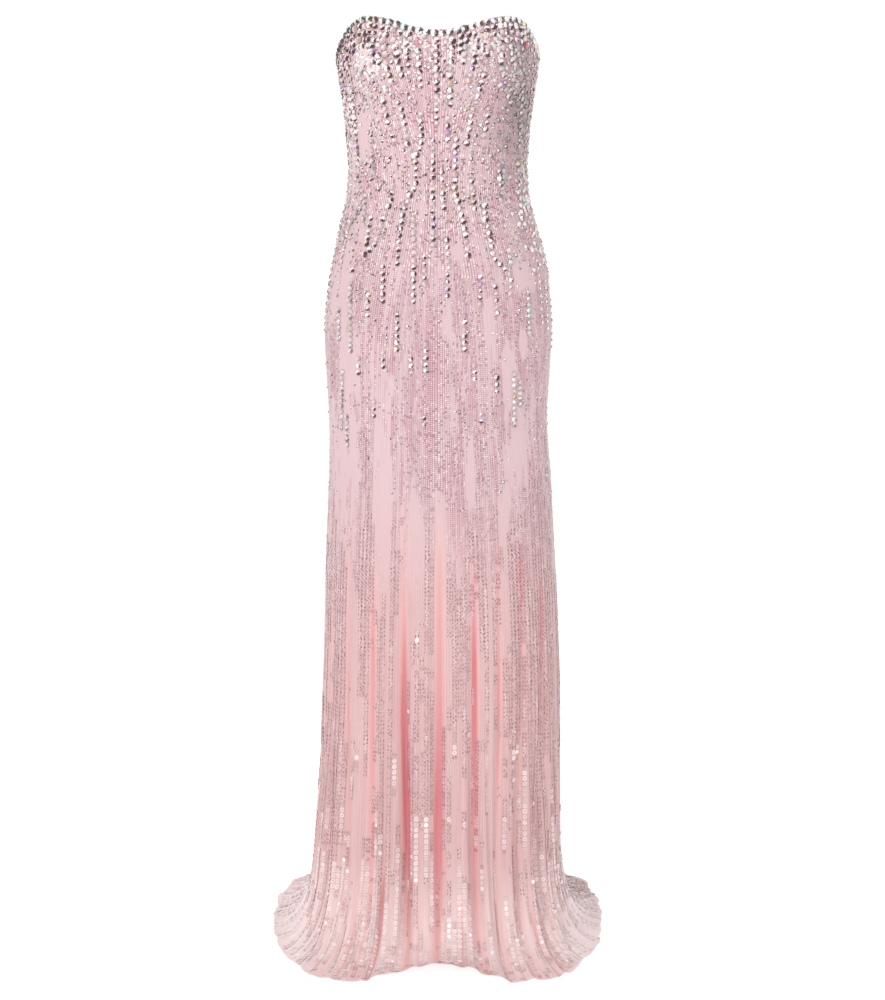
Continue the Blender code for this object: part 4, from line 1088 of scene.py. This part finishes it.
# Places for sequins on a panel: the string, in halves, its level, the length down it, and the size.
# Rows are at equal steps of length, and every second, fourth or eighth half string is used, so
# that the columns stand about as far apart as wanted.
def sequinPlaces(look):
    levels = np.linspace(1.0, 2.992, 260)
    halfStrings = np.arange(1, 2 * look["strings"])
    level, share = np.meshgrid(levels, halfStrings / (2 * look["strings"]), indexing="ij")
    points = gownPoint(panelAngle(look, share, level), level)
    apart = np.linalg.norm(np.diff(points, axis=1), axis=-1).mean(1)
    steps = np.linalg.norm(np.diff(points, axis=0), axis=-1)
    down = np.concatenate([np.zeros((1, len(halfStrings))), np.cumsum(steps, 0)])
    places = []
    for half, lengths in zip(halfStrings, down.T):
        for size, pitch in enumerate(sequinLook["rowPitch"]):
            at = np.arange(0.001, lengths[-1], pitch)
            atLevel, ones = np.interp(at, lengths, levels), np.ones(len(at))
            places.append(np.stack([half * ones, atLevel, at, size * ones], -1))
    places = np.concatenate(places)
    apartHere = np.interp(places[:, 1], levels, apart)
    wanted = np.array(sequinLook["spacing"])[places[:, 3].astype(int)] * 0.78
    every = 2 ** np.maximum(np.ceil(np.log2(wanted / apartHere)), 0)
    return places[np.mod(places[:, 0], every) < 0.5]


# What decides where there are sequins: weights of the three streaks, of the dense places, of bare
# patches and of hollows; the least total of each size; and where they start on the body.
wantLook = {
    "broad": 0.40, "narrow": 0.40, "fine": 0.20, "dense": 0.26, "bare": -0.34, "hollowShade": -0.18,
    "larger": 0.55, "ordinary": 0.48, "start": 1.00, "largerTop": 0.25, "smallFoot": 0.60,
}


# The sequins of all panels, a row for each: angle, level, size, height, fine streak, strength of
# the painted hollow shade, and strength of the right lobe's painted shade.
def sequinRows():
    total = []
    for p, look in enumerate(panelLook.values()):
        column, level, at, size = sequinPlaces(look).T
        theta = panelAngle(look, column / (2 * look["strings"]), level)
        point = gownPoint(theta, level)
        z = point[:, 2]
        hollowShade = foldShape(theta, z)[1]
        bare = bareness(point)
        broad = streaks(np.floor(column / 6) + 40 * p, at, 0.16, 100 + p)
        narrow = streaks(column + 7, at, 0.055, 200 + p)
        fine = streaks(column * 3 + 11, at, 0.018, 300 + p)
        want = wantLook["broad"] * broad + wantLook["narrow"] * narrow + wantLook["fine"] * fine
        want += wantLook["dense"] * density(point) + wantLook["bare"] * bare + wantLook["hollowShade"] * hollowShade
        # The right lobe's painted shade: more sequins there, each with its full painted dark.
        shaded = lobeShade(point)
        want += 0.05 * ease((0.36 - z) / 0.30) + 0.06 * ease((0.15 - z) / 0.10)  # more towards the hem
        want += 0.02 * ease((z - 0.45) / 0.10) + 0.20 * shaded
        lobe = ease((np.abs(point[:, 0]) - 0.185) / 0.015) * (z < 0.05) * (shaded < 0.3)
        start = wantLook["start"] - 0.40 * narrow - 0.15 * broad
        drift = 0.25 * (broad - 0.5)
        isLow = z < wantLook["largerTop"] - drift
        larger = (want + 0.16 * lobe > wantLook["larger"]) & isLow & (narrow > 0.43)
        ordinary = (want > wantLook["ordinary"]) & (z < start) & (lobe < 0.5) & ~larger
        small = z > wantLook["smallFoot"] + drift
        keep = np.choose(size.astype(int), [ordinary & small, ordinary & ~small, larger])
        total.append(np.stack([theta, level, size, z, fine, hollowShade, shaded], -1)[keep])
    return np.concatenate(total)


sequinColours = {
    "dark": rgb(0.22, 0.075, 0.09),
    "ring": rgb(0.88, 0.76, 0.75),
    "body": np.array([0.56, 0.39, 0.41]),
    "skirt": np.array([0.57, 0.365, 0.368]),
    # Painted light near the hem, and painted shade in the hollows.
    "hem": np.array([0.72, 0.53, 0.525]),
    "hollowShade": np.array([0.54, 0.220, 0.245]),
    "white": np.array([0.90, 0.82, 0.81]),
}


# Cupped sequin: its own tint, a paler ring on pearly ones, painted dark reflections at both sides
# of the rim, and painted shade in the hole. The distance from the middle is sqrt(x² + y²).
def sequin(wire):
    uv = wire.node("ShaderNodeUVMap", {"uv_map": "strings"})
    x = uv.node("ShaderNodeSeparateXYZ", inputs={"Vector": uv})
    y = x.other("Y")
    radius = (x * x + y * y).math("SQRT")
    sideways = (x.math("ABSOLUTE") / (radius + 0.01)).step(0.60, 0.90)
    pearl, paintedDark = wire.attribute("pearl"), wire.attribute("paintedDark")
    tint = wire.attribute("tint", "Color")
    rim = radius.step(0.42, 0.58) * sideways * paintedDark
    hole = 1 - radius.step(0.08, 0.22)
    colour = (radius.step(0.45, 0.65) * pearl).mix(tint, sequinColours["ring"])
    colour = (rim * 0.95).mix(colour, sequinColours["dark"])
    colour = (hole * paintedDark * 0.4).mix(colour, sequinColours["dark"])
    return {
        "Base Color": colour,
        "Roughness": 0.40 - pearl * 0.20,
        "Coat Weight": pearl * 0.30,
        "Coat Roughness": 0.1,
        "Specular IOR Level": 0.35,
    }


sequinMaterial = newMaterial("sequin", sequin)


# Colour of each sequin: pink of the body or the skirt, painted paler near the hem as painted light and
# darker in a hollow as painted shade, mixed with white for pearly ones and painted glints.
def sequinTints(z, hollowShade, share, bright):
    skirt = bandShare("warm", z)[:, None]
    pink = sequinColours["body"] * (1 - skirt) + sequinColours["skirt"] * skirt
    pink += (sequinColours["hem"] - pink) * bandShare("pale", z)[:, None] * 0.8
    pink += (sequinColours["hollowShade"] - pink) * ease((hollowShade - 0.3) / 0.5)[:, None] * 0.7
    tint = np.clip((pink * (1 - share) + sequinColours["white"] * share) * bright, 0, 1)
    return np.concatenate([tint, np.ones((len(z), 1))], 1)


# One piece of sequins. Larger ones are pearly, a few are tinted near white as painted glints, and the
# others have painted dark at the rim and hole.
def sequinPiece(name, rows, seed):
    rng = np.random.default_rng(seed)
    theta, level, kind, z, fine, hollowShade, shaded = rows.T
    count = len(theta)
    isLarger = kind > 1
    template, faces = sequinTemplate()
    size = np.array(sequinLook["radius"])[kind.astype(int)] * rng.uniform(0.92, 1.08, count)
    place, right, up, out = placesOn(theta, level, 0.0003, rng.normal(0, 0.12, count), 0.05, rng)
    points, allFaces = stamped(template, faces, place, right, up, out, size)
    turned = rng.normal(0, 0.35, count)[:, None]
    flatX, flatY = template[:, 0], template[:, 1]
    turnedX = flatX * np.cos(turned) - flatY * np.sin(turned)
    flat = np.stack([turnedX, flatX * np.sin(turned) + flatY * np.cos(turned)], -1).reshape(-1, 2)
    bright = rng.uniform(0.88, 1.08, (count, 1))
    # Painted glints: a few sequins, more of the larger ones, are tinted nearly white.
    glint = rng.uniform(0, 1, count) < np.where(isLarger, 0.07, 0.002 + 0.008 * ease((0.40 - z) / 0.2))
    pearl = np.where(isLarger, rng.uniform(0.35, 0.85, count), ease((fine - 0.45) / 0.5) * 0.30)
    # Painted dark at the rim and hole: stronger with the fine streak, weaker at the hem, full in the right
    # lobe's painted shade, and faint on pearly and glinting ones.
    paintedDark = rng.uniform(0.30, 0.95, count) * (0.75 + 0.5 * fine) * (1 - 0.50 * ease((0.13 - z) / 0.10))
    paintedDark = paintedDark + (1 - paintedDark) * shaded
    paintedDark = np.where((isLarger & (shaded < 0.3)) | glint, 0.12, np.clip(paintedDark, 0, 1))
    tint = sequinTints(z, hollowShade, np.where(glint, 0.9, 0.35 * pearl)[:, None], bright)
    each = len(template)
    attributes = {
        "pearl": (np.repeat(pearl, each), "POINT"),
        "paintedDark": (np.repeat(paintedDark, each), "POINT"),
        "tint": (np.repeat(tint, each, 0), "POINT"),
    }
    mesh = meshFrom(name, points, allFaces, flat, attributes)
    print(name, count, "sequins", len(allFaces), "triangles")
    addPiece(name, mesh, "gown", "gown_cloth", sequinMaterial)


allSequins = sequinRows()
pieceCount = math.ceil(len(allSequins) * sequinLook["sides"] / sequinLook["triangles"])
print("sequins in all", len(allSequins))
for i, part in enumerate(np.array_split(allSequins, pieceCount)):
    sequinPiece("sequins_%d" % (i + 1), part, 50 + i)


zipLook = {"metal": rgb(0.78, 0.74, 0.72), "tape": rgb(0.78, 0.54, 0.58), "bevel": 0.00012}


def zipMetal(wire):
    return {"Base Color": zipLook["metal"], "Metallic": 1.0, "Roughness": 0.28}


def zipCloth(wire):
    return {"Base Color": zipLook["tape"], "Roughness": 0.8}


metalMaterial, tapeMaterial = newMaterial("zipMetal", zipMetal), newMaterial("zipTape", zipCloth)
zipMaterials = {"zip_slider": metalMaterial, "zip_pull": metalMaterial, "zip_tape": tapeMaterial}
for nodeName, material in zipMaterials.items():
    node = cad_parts[nodeName]
    node.data.materials.clear()
    node.data.materials.append(material)
for nodeName in ("zip_slider", "zip_pull"):
    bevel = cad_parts[nodeName].modifiers.new("edges", "BEVEL")
    bevel.width, bevel.segments, bevel.limit_method = zipLook["bevel"], 2, "ANGLE"
print("zip: slider, pull tab and tape")


# Floor, light and camera. Lamps are given in watts.
roomLook = {
    "floor": rgb(0.60, 0.60, 0.60), "glow": 0.72, "reach": 150.0, "white": rgb(1, 1, 1),
    "world": 0.78, "key": 62, "fill": 16, "top": 22,
}


def plainFloor(wire):
    glow = {"Emission Color": roomLook["white"], "Emission Strength": roomLook["glow"]}
    return {"Base Color": roomLook["floor"], "Roughness": 0.9, **glow}


corners = np.array([(-1, -1), (1, -1), (1, 1), (-1, 1)]) * roomLook["reach"]
floorPoints = np.column_stack([corners, np.full(4, -holdHeight)])
floorMesh = meshFrom("floor", floorPoints, [(0, 1, 2, 3)])
floor = bpy.data.objects.new("floor", floorMesh)
floorMesh.materials.append(newMaterial("floorPaint", plainFloor))
bpy.context.scene.collection.objects.link(floor)

# White room: it looks white, and its soft light is a little weaker than that.
world = bpy.data.worlds.new("studio")
bpy.context.scene.world = world
world.use_nodes = True
room = Wire(world.node_tree)
seen = room.node("ShaderNodeLightPath")
background = world.node_tree.nodes["Background"]
background.inputs["Color"].default_value = roomLook["white"]
strength = seen * (1 - roomLook["world"]) + roomLook["world"]
world.node_tree.links.new(strength.socket, background.inputs["Strength"])


def areaLight(name, place, aim, size, watts):
    data = bpy.data.lights.new(name, "AREA")
    data.shape, data.size, data.size_y, data.energy = "RECTANGLE", size[0], size[1], watts
    obj = bpy.data.objects.new(name, data)
    bpy.context.scene.collection.objects.link(obj)
    obj.location = place
    obj.rotation_euler = (Vector(aim) - Vector(place)).to_track_quat("-Z", "Y").to_euler()


areaLight("key", (-2.0, -3.0, 1.4), (0, 0, -0.5), (1.2, 2.0), roomLook["key"])
areaLight("fill", (2.6, -2.4, 0.4), (0, 0, -0.5), (1.5, 2.2), roomLook["fill"])
areaLight("top", (0.0, 0.6, 2.4), (0, 0, -0.4), (1.6, 1.6), roomLook["top"])

# Metres and degrees; "focal" is the lens's length in widths of the sensor, which is in millimetres.
cameraLook = {"back": 3.8, "height": 1.25, "pitch": 9.1158, "focal": 2.65495, "across": 0.007, "sensor": 36}
camera = bpy.data.objects.new("camera", bpy.data.cameras.new("camera"))
bpy.context.scene.collection.objects.link(camera)
camera.location = (cameraLook["across"], -cameraLook["back"], cameraLook["height"] - holdHeight)
camera.rotation_euler = (math.radians(90 - cameraLook["pitch"]), 0, 0)
camera.data.sensor_width = cameraLook["sensor"]
camera.data.lens = cameraLook["sensor"] * cameraLook["focal"]
camera.data.dof.use_dof = False
bpy.context.scene.camera = camera
bpy.context.scene.view_settings.view_transform = "Standard"
print("floor, light and camera")
